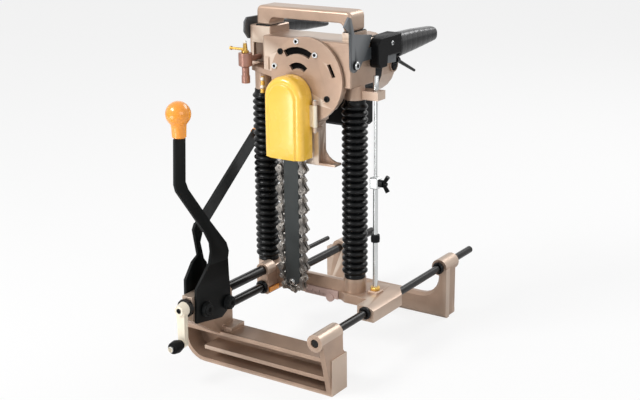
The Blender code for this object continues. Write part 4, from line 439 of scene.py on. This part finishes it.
KNOB_R = 0.0143
KNOB_NECK_R = 0.0080
KNOB_LONG = 0.0265
NECK_shares = ((0.0, -1.0), (0.25, -0.968), (0.5, -0.866), (0.7, -0.714), (0.866, -0.5), (0.968, -0.25),
               (1.0, 0.0), (0.975, 0.222), (0.90, 0.436), (0.79, 0.613), (0.68, 0.735), (0.62, 0.85),
               (0.59, 1.1))


def knob(node, centre, lean, body):
    """A ball handle, turned about the line from the ball's centre to the foot of its neck."""
    profile = [(KNOB_R * out, KNOB_R * along) for out, along in NECK_shares]
    profile += [(KNOB_NECK_R, KNOB_LONG - EDGE_CAST), (KNOB_NECK_R - EDGE_CAST, KNOB_LONG), (0, KNOB_LONG)]
    work = turned(bmesh.new(), profile, centre, lean)
    piece(f"{node}_look", work, body, "orange_plastic", (node,))


def knobs():
    low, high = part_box("clamp_knob")
    ball_top = Vector(((low.x + high.x) / 2, (low.y + high.y) / 2, high.z - KNOB_R))
    knob("clamp_knob", ball_top, (0, 0, -1), "clamp_lever_body")
    lean = Vector((0, LOCK_END[0] - LOCK_ELBOW[0], LOCK_END[1] - LOCK_ELBOW[1])).normalized()
    ball_side = Vector((LOCK_OUT_X, *LOCK_END)) + lean * (KNOB_LONG + EDGE_FINE)
    knob("lock_knob", ball_side, -lean, "lock_lever_body")


knobs()


# Bellows: round ribs with creased valleys and a cuff at each end, and the springs inside them

BELLOWS_FOOT = 0.0298
BELLOWS_TOP = 0.2507
BELLOWS_R = 0.0158
BELLOWS_VALLEY = 0.0126
BELLOWS_BORE = 0.0120
BELLOWS_CUFF = 0.0045
CUFF_OUT = 0.0003
CUFF_GROOVE = 0.0006
BELLOWS_RIBS = 27
RIB_STEPS = 8
RIB_SHARPNESS = 1.1
SPRING_R = 0.0104
SPRING_WIRE = 0.0008
SPRING_TURNS = 10
SPRING_STEPS = 24
SPRING_SIDES = 8


def gaiter(x):
    pitch = (BELLOWS_TOP - BELLOWS_FOOT - 2 * BELLOWS_CUFF) / BELLOWS_RIBS
    cuff_r = BELLOWS_VALLEY + CUFF_OUT
    outer = [(cuff_r, BELLOWS_FOOT), (cuff_r, BELLOWS_FOOT + BELLOWS_CUFF - CUFF_GROOVE)]
    for i in range(BELLOWS_RIBS):
        for k in range(RIB_STEPS):
            share = k / RIB_STEPS
            swell = math.sin(math.pi * share) ** RIB_SHARPNESS if share else 0
            outer.append((BELLOWS_VALLEY + (BELLOWS_R - BELLOWS_VALLEY) * swell,
                          BELLOWS_FOOT + BELLOWS_CUFF + (i + share) * pitch))
    outer += [(cuff_r, BELLOWS_TOP - BELLOWS_CUFF + CUFF_GROOVE), (cuff_r, BELLOWS_TOP)]
    profile = [(BELLOWS_BORE, BELLOWS_TOP), (BELLOWS_BORE, BELLOWS_FOOT)] + outer
    return turned(bmesh.new(), profile, (x, 0, 0), (0, 0, 1))


def return_spring(x):
    low = BELLOWS_FOOT + SPRING_WIRE * 2
    high = BELLOWS_TOP - SPRING_WIRE * 2
    around_wire = [2 * math.pi * k / SPRING_SIDES for k in range(SPRING_SIDES)]
    rings = []
    count = SPRING_TURNS * SPRING_STEPS
    for i in range(count + 1):
        t = 2 * math.pi * SPRING_TURNS * i / count
        out = Vector((math.cos(t), math.sin(t), 0))
        centre = Vector((x, 0, low + (high - low) * i / count)) + out * SPRING_R
        rings.append([centre + out * SPRING_WIRE * math.cos(a) + Vector((0, 0, SPRING_WIRE * math.sin(a)))
                      for a in around_wire])
    work = bmesh.new()
    ring_faces(work, rings)
    return work


def round_column(side, x):
    """The gaiter and the spring of one column, riding on the carriage."""
    for node, work, finish in ((f"bellows_{side}", gaiter(x), "black_rubber"),
                               (f"return_spring_{side}", return_spring(x), "steel")):
        soft = piece(f"{node}_look", work, "carriage_body", finish, (node,))
        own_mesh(soft)


round_column("left", -COLUMN_X)
round_column("right", COLUMN_X)


# Saw chain: waisted plates on riveted pins, each with its hooked cutter; the plate's outline is given in
# shares of the pitch along it and of its half height across it

PIN_FROM_BAR = 0.0047
PIN_LINE = BAR_HALF + PIN_FROM_BAR
PLATE_HALF = 0.0040
PLATE_shares = ((-0.30, -0.45), (-0.18, -0.82), (0.10, -0.86), (0.35, -0.55), (0.50, -0.45), (0.65, -0.55),
                (0.90, -0.86), (1.18, -0.82), (1.30, -0.45), (1.33, 0.30), (1.10, 0.50), (0.80, 0.42),
                (0.56, 0.62), (0.30, 1.30), (0.14, 1.62), (0.02, 1.50), (-0.12, 0.90), (-0.33, 0.50))
PLY = 0.0024
PLY_GAP = 0.0002
RIVET_R = 0.0018
RIVET_OUT = 0.0004
RIVET_FLAT_share = 0.6
RIVET_SIDES = 14


def chain_place(run):
    """Where the pins' line is after a run from the foot of its right-hand side: X and Z."""
    straight = SPINDLE_Z - NOSE_Z
    half_turn = math.pi * PIN_LINE
    run %= 2 * (straight + half_turn)
    if run < straight:
        return Vector((PIN_LINE, NOSE_Z + run))
    run -= straight
    if run < half_turn:
        angle = run / PIN_LINE
        return Vector((PIN_LINE * math.cos(angle), SPINDLE_Z + PIN_LINE * math.sin(angle)))
    run -= half_turn
    if run < straight:
        return Vector((-PIN_LINE, SPINDLE_Z - run))
    angle = math.pi + (run - straight) / PIN_LINE
    return Vector((PIN_LINE * math.cos(angle), NOSE_Z + PIN_LINE * math.sin(angle)))


def saw_chain():
    length = 2 * (SPINDLE_Z - NOSE_Z) + 2 * math.pi * PIN_LINE
    count = 2 * round(length / CHAIN_PITCH / 2)
    pins = [chain_place(length * i / count) for i in range(count)]
    half = CHAIN_WIDE / 2
    top, shoulder = half + PLY_GAP, half + PLY_GAP - RIVET_OUT
    flat = RIVET_R * RIVET_FLAT_share
    rivet = [(0, -top), (flat, -top), (RIVET_R, -shoulder), (RIVET_R, shoulder), (flat, top), (0, top)]
    work = bmesh.new()
    for i, start in enumerate(pins):
        along = pins[(i + 1) % count] - start
        outward = Vector((along.y, -along.x)).normalized() * PLATE_HALF
        outline = [tuple(start + along * u + outward * v) for u, v in PLATE_shares]
        if i % 2:
            prism(work, outline, "Y", CHAIN_Y - half + PLY_GAP, CHAIN_Y - PLY / 2 - PLY_GAP)
            prism(work, outline, "Y", CHAIN_Y + PLY / 2 + PLY_GAP, CHAIN_Y + half - PLY_GAP)
        else:
            prism(work, outline, "Y", CHAIN_Y - PLY / 2, CHAIN_Y + PLY / 2)
        turned(work, rivet, (start.x, CHAIN_Y, start.y), (0, 1, 0), RIVET_SIDES)
    piece("saw_chain_look", work, "head_body", "chain_steel", ("saw_chain",), EDGE_FINE / 2, 1)


saw_chain()


# Yellow cover: a sheet over the chain's top with a rolled front edge and a raised panel

COVER_HALF = 0.027
YELLOW_FRONT = -0.057
YELLOW_BACK = -0.0335
YELLOW_BOTTOM = 0.182
YELLOW_SHELL = 0.002
COVER_ROLL = 0.0066
PANEL_IN = 0.0082
PANEL_OUT = 0.0021
PANEL_ROLL = 0.0020
SIDE_STEPS = 8
ARCH_STEPS = 32
ROLL_STEPS = 6
PANEL_STEPS = 4
LIP_ANGLE = 60


def cover_ring(inset, y):
    """The cover's outline, drawn in by an inset, at one depth: up its right side, over and down the left."""
    half = COVER_HALF - inset
    side = [(half, YELLOW_BOTTOM + (SPINDLE_Z - YELLOW_BOTTOM) * i / SIDE_STEPS) for i in range(SIDE_STEPS)]
    line = side + arc((0, SPINDLE_Z), half, 0, 180, ARCH_STEPS) + [(-x, z) for x, z in side[::-1]]
    return [(x, y, z) for x, z in line]


def chain_cover():
    rings = [cover_ring(0, YELLOW_BACK), cover_ring(0, YELLOW_BACK - COVER_ROLL)]
    for i in range(ROLL_STEPS + 1):
        angle = math.pi / 2 * i / ROLL_STEPS
        rings.append(cover_ring(COVER_ROLL * (1 - math.cos(angle)),
                                YELLOW_FRONT + COVER_ROLL * (1 - math.sin(angle))))
    rings.append(cover_ring(PANEL_IN - PANEL_ROLL / 2, YELLOW_FRONT))
    rings.append(cover_ring(PANEL_IN, YELLOW_FRONT - PANEL_ROLL / 3))
    for i in range(1, PANEL_STEPS + 1):
        angle = math.pi / 2 * i / PANEL_STEPS
        rings.append(cover_ring(PANEL_IN + PANEL_ROLL * (1 - math.cos(angle)) + PANEL_ROLL / 6,
                                YELLOW_FRONT - PANEL_ROLL / 3
                                - (PANEL_OUT - PANEL_ROLL / 3) * math.sin(angle)))
    work = bmesh.new()
    made = ring_faces(work, rings, closed=False, caps=False)
    work.faces.new(made[-1])
    obj = piece("chain_cover_look", work, "chain_cover_body", "yellow_plastic",
                ("chain_cover",))
    wall = obj.modifiers.new("wall", "SOLIDIFY")
    wall.thickness = YELLOW_SHELL
    wall.offset = -1
    wall.use_even_offset = True
    lip = obj.modifiers.new("lip", "BEVEL")
    lip.width = EDGE_FINE * 1.5
    lip.segments = 2
    lip.limit_method = "ANGLE"
    lip.angle_limit = math.radians(LIP_ANGLE)
    obj.modifiers.move(0, 2)      # the shading comes after the wall and its lip


chain_cover()


# The cover's long hinge knuckle with its strap

HINGE_X = 0.0335
HINGE_Y = -0.0375
HINGE_R = 0.0028
HINGE_BORE = 0.0015
KNUCKLE_FOOT = 0.2203
KNUCKLE_TOP = 0.2467
STRAP_HALF = 0.0012
STRAP_SHY = 0.0014


def cover_knuckle():
    profile = [(HINGE_BORE, KNUCKLE_FOOT), (HINGE_R, KNUCKLE_FOOT), (HINGE_R, KNUCKLE_TOP),
               (HINGE_BORE, KNUCKLE_TOP)]
    work = turned(bmesh.new(), profile, (HINGE_X, HINGE_Y, 0), (0, 0, 1), ROUND)
    strap = oblong(COVER_HALF - STRAP_HALF, HINGE_X - STRAP_SHY, HINGE_Y - STRAP_HALF, HINGE_Y + STRAP_HALF)
    prism(work, strap, "Z", KNUCKLE_FOOT + EDGE_FINE, KNUCKLE_TOP - EDGE_FINE)
    piece("cover_knuckle_look", work, "chain_cover_body", "cream_zinc", (), EDGE_FINE)


cover_knuckle()


# Grips: rounded oblong sections along Y with shallow finger ribs, and a domed end

GRIP_X = 0.0795
GRIP_HALF = 0.0105
GRIP_POWER = 0.75
RIGHT_GRIP = ((0.0665, 0.2915, 0.3215), (0.110, 0.2950, 0.3205), (0.153, 0.2995, 0.3180))   # Y, foot, top
LEFT_GRIP = ((0.048, 0.3130, 0.3325), (0.078, 0.3095, 0.3320), (0.112, 0.3075, 0.3245),
             (0.148, 0.3070, 0.3145))
GRIP_EDGE = 0.0008
GRIP_SHOULDER = 0.0020
GRIP_START_share = 0.90
GRIP_EDGE_share = 0.97
GRIP_STEPS = 60
GRIP_SIDES = 40
RIB_PITCH = 0.0125
RIB_POWER = 6
RIB_DEEP_share = 0.015
PLAIN_STEPS = 3
TIP_LONG = 0.006
TIP_STEPS = 6
TIP_END_share = 0.52


def grip_size(sections, y):
    """A grip's foot and top at one depth; one of more than three sections bends gently between them."""
    for (y0, low0, high0), (y1, low1, high1) in zip(sections, sections[1:]):
        if y <= y1:
            t = (y - y0) / (y1 - y0)
            t = t * t * (3 - 2 * t) if len(sections) > 3 else t
            return low0 + (low1 - low0) * t, high0 + (high1 - high0) * t
    return sections[-1][1:]


def grip(node, x, sections):
    start, end = sections[0][0], sections[-1][0]
    first = start + GRIP_SHOULDER
    places = [(start, GRIP_START_share), (start + GRIP_EDGE, GRIP_EDGE_share), (first, 1.0)]
    for i in range(1, GRIP_STEPS):
        y = first + (end - first) * i / GRIP_STEPS
        wave = (1 + math.cos(2 * math.pi * (y - start) / RIB_PITCH)) / 2
        places.append((y, 1.0 - RIB_DEEP_share * wave ** RIB_POWER if i > PLAIN_STEPS else 1.0))
    for k in range(TIP_STEPS + 1):
        angle = math.pi / 2 * k / TIP_STEPS
        places.append((end + TIP_LONG * math.sin(angle),
                       TIP_END_share + (1 - TIP_END_share) * math.cos(angle)))
    rings = []
    for y, share in places:
        low, high = grip_size(sections, min(y, end))
        middle, tall = (low + high) / 2, (high - low) / 2
        ring = []
        for i in range(GRIP_SIDES):
            angle = 2 * math.pi * (i + 0.5) / GRIP_SIDES
            c, s = math.cos(angle), math.sin(angle)
            ring.append((x + GRIP_HALF * share * math.copysign(abs(c) ** GRIP_POWER, c), y,
                         middle + tall * share * math.copysign(abs(s) ** GRIP_POWER, s)))
        rings.append(ring)
    work = bmesh.new()
    ring_faces(work, rings)
    piece(f"{node}_look", work, "head_body", "grip_rubber", (node,))


grip("right_grip", GRIP_X, RIGHT_GRIP)
grip("left_grip", -GRIP_X, LEFT_GRIP)


# Cap screws, each with a dark six-sided socket of its own, drawn as a disc of painted shade

RIM_share = 0.14
SOCKET_share = 0.52


def socket_screw(name, centre, axis, radius, height, body, finish, slot):
    """A screw's head, sunk by its height below its seat, and the socket in it as a second piece: a dark disc
    of painted shade.
    """
    rim = radius * RIM_share
    head = rod_profile(radius, -height, height, rim)
    piece(name, turned(bmesh.new(), head, centre, axis, ROUND), body, finish)
    # The socket: a dark hex disc on the head, painted shade in place of a recess
    socket = rod_profile(radius * SOCKET_share, height - rim, height + EDGE_FINE / 3)
    piece(f"{name}_socket", turned(bmesh.new(), socket, centre, axis, HEX), body, "print_and_painted_shade_black")


# Gear cover: painted shade behind its slots, as a dark liner and floors, and the screws in its rim

CASE_X = 0.018
CASE_Z = 0.275
HEAD_FRONT = -0.028
COVER_FACE = -0.0323
SHADE_LINER_R = 0.034
SHADE_LINER_T = 0.0008
SLOT_X = 0.0065
SLOTS = ((0.0330, 0.0042, 57, 123), (0.0153, 0.0036, 44, 131))      # radius, half width, from, to in degrees
SLOT_STEPS = 12
OBLONG_SLOT = ((0.0295, 0.0195), (0.0340, 0.0210), (0.0410, 0.0065), (0.0365, 0.0050))
COVER_SCREWS = ((0.005, 0.3185), (-0.018, 0.305), (0.031, 0.3045), (0.047, 0.2545), (-0.0265, 0.287))
COVER_SCREW_R = 0.0037
COVER_SCREW_T = 0.0016


def gear_cover_details():
    # A black disc and black floors behind the slots: painted shade of the dark interior
    shade_liner = turned(bmesh.new(), rod_profile(SHADE_LINER_R, 0, SHADE_LINER_T), (CASE_X, HEAD_FRONT + SHADE_LINER_T, CASE_Z),
                   (0, 1, 0))
    piece("slot_shade_liner", shade_liner, "head_body", "print_and_painted_shade_black")
    shade_floors = [[(CASE_X + x, CASE_Z + z) for x, z in OBLONG_SLOT]]
    for radius, half, start, end in SLOTS:
        shade_floors.append(arc((SLOT_X, CASE_Z), radius + half, start, end, SLOT_STEPS)
                      + arc((SLOT_X, CASE_Z), radius - half, end, start, SLOT_STEPS))
    for i, outline in enumerate(shade_floors, 1):
        work = prism(bmesh.new(), outline, "Y", HEAD_FRONT - SHADE_LINER_T, HEAD_FRONT + SHADE_LINER_T)
        piece(f"slot_shade_floor_{i}", work, "head_body", "print_and_painted_shade_black")
    for i, (x, z) in enumerate(COVER_SCREWS, 1):
        socket_screw(f"cover_screw_{i}", (x, COVER_FACE, z), (0, -1, 0), COVER_SCREW_R, COVER_SCREW_T,
                     "head_body", "steel" if i % 2 else "black_steel", "black_steel")


gear_cover_details()


# Rubber pads under the two posts of the carry handle

HANDLE_FOOT = 0.330
PADS = (("left", -0.0672, -0.0482), ("right", 0.0572, 0.0672))      # name, X from, X to
PAD_FRONT = -0.012
PAD_BACK = 0.020
PAD_BELOW = 0.0008
PAD_ABOVE = 0.0010


def handle_pads():
    for side, left, right in PADS:
        outline = oblong(left - EDGE_FINE, right + EDGE_FINE, PAD_FRONT - EDGE_FINE, PAD_BACK + EDGE_FINE)
        pad = prism(bmesh.new(), outline, "Z", HANDLE_FOOT - PAD_BELOW, HANDLE_FOOT + PAD_ABOVE)
        piece(f"handle_pad_{side}", pad, "head_body", "black_rubber", (), EDGE_FINE / 2)


handle_pads()


# Single screws: name, centre, axis, radius, height, body, finish, slot

SCREWS = (
    ("lever_shaft_bolt", (-0.0352, -0.160, 0.0185), (1, 0, 0), 0.0062, 0.0010, "base",
     "black_steel", "black_steel"),
    ("clamp_pin_bolt", (-0.0343, -0.119, 0.0135), (1, 0, 0), 0.0058, 0.0010, "clamp_lever_body",
     "black_steel", "black_steel"),
    ("crank_hub_screw", (ROD_LEFT_X, -0.1968, 0.0255), (0, -1, 0), 0.0030, 0.0006, "crank_body",
     "black_steel", "black_steel"),
    ("side_bolt_cap", (0.0836, -0.0235, 0.2955), (1, 0, 0), 0.0048, 0.0006, "head_body",
     "steel", "black_steel"),
    ("switch_screw", (0.0902, 0.0440, 0.3130), (1, 0, 0), 0.0026, 0.0006, "head_body",
     "steel", "black_steel"),
    ("nose_screw", (0, -0.0430, 0.0226), (0, -1, 0), 0.0030, 0.0006, "head_body",
     "steel", "steel"),
)
for screw in SCREWS:
    socket_screw(*screw)


# Small turned trim, each with a profile of radii and heights

CRANK_TIP_PROFILE = ((0, -0.2119), (0.0037, -0.2119), (0.0037, -0.2141), (0.0032, -0.2144), (0, -0.2144))
CRANK_TIP_Z = -0.0160
BALL_R = 0.0022
BALL_STEPS = 9
# Where the painted highlights sit: a white ball on the oiler and two on its brass fitting
OILER_GLINT = (-0.0655, -0.038, 0.3128)
FITTING = (-0.0455, -0.0312, 0)
FITTING_PROFILE = ((0, 0.2525), (0.0034, 0.2525), (0.0034, 0.2570), (0.0022, 0.2580), (0.0022, 0.2610),
                   (0.0030, 0.2620), (0.0030, 0.2660), (0.0020, 0.2670), (0.0020, 0.2725), (0, 0.2725))
OIL_GLINTS = ((-0.0445, -0.0336, 0.2695), (-0.0445, -0.0336, 0.2600))
NUT_PROFILE = ((0.0032, 0.0150), (0.0066, 0.0150), (0.0066, 0.0186), (0.0058, 0.0192), (0.0032, 0.0192))
CLIP_PROFILE = ((0.0031, 0.0765), (0.0052, 0.0770), (0.0056, 0.0810), (0.0052, 0.0860), (0.0031, 0.0865))


def ball(place):
    """A small ball, turned about Z."""
    angles = [math.pi * k / BALL_STEPS for k in range(1, BALL_STEPS)]
    profile = [(0, -BALL_R)] + [(BALL_R * math.sin(a), -BALL_R * math.cos(a)) for a in angles] + [(0, BALL_R)]
    return turned(bmesh.new(), profile, place, (0, 0, 1), SMALL)


def trim():
    crank_tip = turned(bmesh.new(), CRANK_TIP_PROFILE, (ROD_LEFT_X, 0, CRANK_TIP_Z), (0, 1, 0), SMALL)
    piece("crank_tip", crank_tip, "crank_body", "steel")
    # White balls as painted highlights, the glints on the oiler and its fitting
    piece("oiler_glint", ball(OILER_GLINT), "oiler_valve_body", "painted_glint_white")
    fitting = turned(bmesh.new(), FITTING_PROFILE, FITTING, (0, 0, 1), SMALL)
    piece("oil_fitting", fitting, "head_body", "brass", (), EDGE_FINE)
    for i, place in enumerate(OIL_GLINTS, 1):
        piece(f"oil_glint_{i}", ball(place), "head_body", "painted_glint_white")
    pole = (DEPTH_X, DEPTH_Y, 0)
    nut = turned(bmesh.new(), NUT_PROFILE, pole, (0, 0, 1), HEX)
    piece("pole_foot_nut", nut, "carriage_body", "brass", (), EDGE_FINE)
    clip = turned(bmesh.new(), CLIP_PROFILE, pole, (0, 0, 1), ROUND)
    piece("pole_clip", clip, "carriage_body", "black_plastic")


trim()


# The scale's graduations: plain lines on its front, every fifth one long

SCALE_LEFT = 0.0020
SCALE_RIGHT = 0.0300
SCALE_FRONT = -0.0143
SCALE_FOOT = 0.0012
SCALE_SPACES = 14
LONG_EVERY = 5
LINE_LONG = 0.0060
LINE_SHORT = 0.0035
LINE_HALF = 0.0002
LINE_PROUD = 0.00012


def graduations():
    work = bmesh.new()
    for i in range(SCALE_SPACES + 1):
        x = SCALE_LEFT + (SCALE_RIGHT - SCALE_LEFT) * i / SCALE_SPACES
        top = SCALE_FOOT + (LINE_SHORT if i % LONG_EVERY else LINE_LONG)
        prism(work, oblong(x - LINE_HALF, x + LINE_HALF, SCALE_FOOT, top), "Y", SCALE_FRONT - LINE_PROUD,
              SCALE_FRONT + LINE_PROUD)
    piece("scale_lines", work, "carriage_body", "print_and_painted_shade_black")


graduations()


def plain_floor():
    """A pale floor that keeps the object's shadow and looks near white to the camera."""
    work = bmesh.new()
    corners = oblong(-FLOOR_HALF, FLOOR_HALF, -FLOOR_HALF, FLOOR_HALF)
    work.faces.new([work.verts.new((x, y, FLOOR_Z)) for x, y in corners])
    mesh = bpy.data.meshes.new("floor")
    work.to_mesh(mesh)
    work.free()
    floor = bpy.data.objects.new("floor", mesh)
    bpy.context.scene.collection.objects.link(floor)
    paper = bpy.data.materials.new("floor_paper")
    paper.use_nodes = True
    nodes, links = paper.node_tree.nodes, paper.node_tree.links
    shader = nodes["Principled BSDF"]
    shader.inputs["Base Color"].default_value = linear(FLOOR_WHITE, FLOOR_WHITE, FLOOR_WHITE)
    shader.inputs["Roughness"].default_value = FLOOR_ROUGH_share
    shader.inputs["Specular IOR Level"].default_value = FLOOR_SHINE_share
    glow = nodes.new("ShaderNodeEmission")
    rays = nodes.new("ShaderNodeLightPath")
    share = nodes.new("ShaderNodeMath")
    share.operation = "MULTIPLY"
    share.inputs[1].default_value = FLOOR_GLOW_share
    mix = nodes.new("ShaderNodeMixShader")
    links.new(rays.outputs["Is Camera Ray"], share.inputs[0])
    links.new(share.outputs[0], mix.inputs[0])
    links.new(shader.outputs[0], mix.inputs[1])
    links.new(glow.outputs[0], mix.inputs[2])
    links.new(mix.outputs[0], nodes["Material Output"].inputs["Surface"])
    floor.data.materials.append(paper)


def lamp(name, place, aim, width, watts):
    data = bpy.data.lights.new(name, "AREA")
    data.shape = "RECTANGLE"
    data.size = width
    data.size_y = width * LAMP_TALL_share
    data.energy = watts
    obj = bpy.data.objects.new(name, data)
    obj.location = place
    obj.visible_camera = False
    obj.rotation_euler = (Vector(aim) - Vector(place)).to_track_quat("-Z", "Y").to_euler()
    bpy.context.scene.collection.objects.link(obj)


def world():
    """A white world at full strength to the camera and in reflections, and dimmer as a light."""
    made = bpy.data.worlds.new("studio")
    made.use_nodes = True
    tree = made.node_tree
    back = tree.nodes["Background"]
    back.inputs["Color"].default_value = (1, 1, 1, 1)
    rays = tree.nodes.new("ShaderNodeLightPath")
    seen = tree.nodes.new("ShaderNodeMath")
    seen.operation = "MAXIMUM"
    tree.links.new(rays.outputs["Is Camera Ray"], seen.inputs[0])
    tree.links.new(rays.outputs["Is Glossy Ray"], seen.inputs[1])
    level = tree.nodes.new("ShaderNodeMapRange")
    level.inputs["To Min"].default_value = WORLD_LIGHT_share
    level.inputs["To Max"].default_value = WORLD_SEEN_share
    tree.links.new(seen.outputs[0], level.inputs["Value"])
    tree.links.new(level.outputs["Result"], back.inputs["Strength"])
    bpy.context.scene.world = made


def camera():
    data = bpy.data.cameras.new("camera")
    data.sensor_width = SENSOR_MM
    data.lens = FOCAL_PX * SENSOR_MM / PHOTO_WIDE
    data.clip_start = CAMERA_NEAR
    data.clip_end = CAMERA_FAR
    yaw, pitch, roll = (math.radians(a) for a in (CAMERA_YAW, CAMERA_PITCH, CAMERA_ROLL))
    forward = Vector((math.sin(yaw) * math.cos(pitch), math.cos(yaw) * math.cos(pitch), -math.sin(pitch)))
    level = Vector((math.cos(yaw), -math.sin(yaw), 0))
    upward = level.cross(forward)
    right = level * math.cos(roll) + upward * math.sin(roll)
    up = upward * math.cos(roll) - level * math.sin(roll)
    obj = bpy.data.objects.new("camera", data)
    turn = Matrix((right, up, -forward)).transposed().to_4x4()
    obj.matrix_world = Matrix.Translation(CAMERA_PLACE) @ turn
    bpy.context.scene.collection.objects.link(obj)
    bpy.context.scene.camera = obj


plain_floor()
world()
for lamp_values in LAMPS:
    lamp(*lamp_values)
camera()
bpy.context.scene.view_settings.view_transform = "Standard"
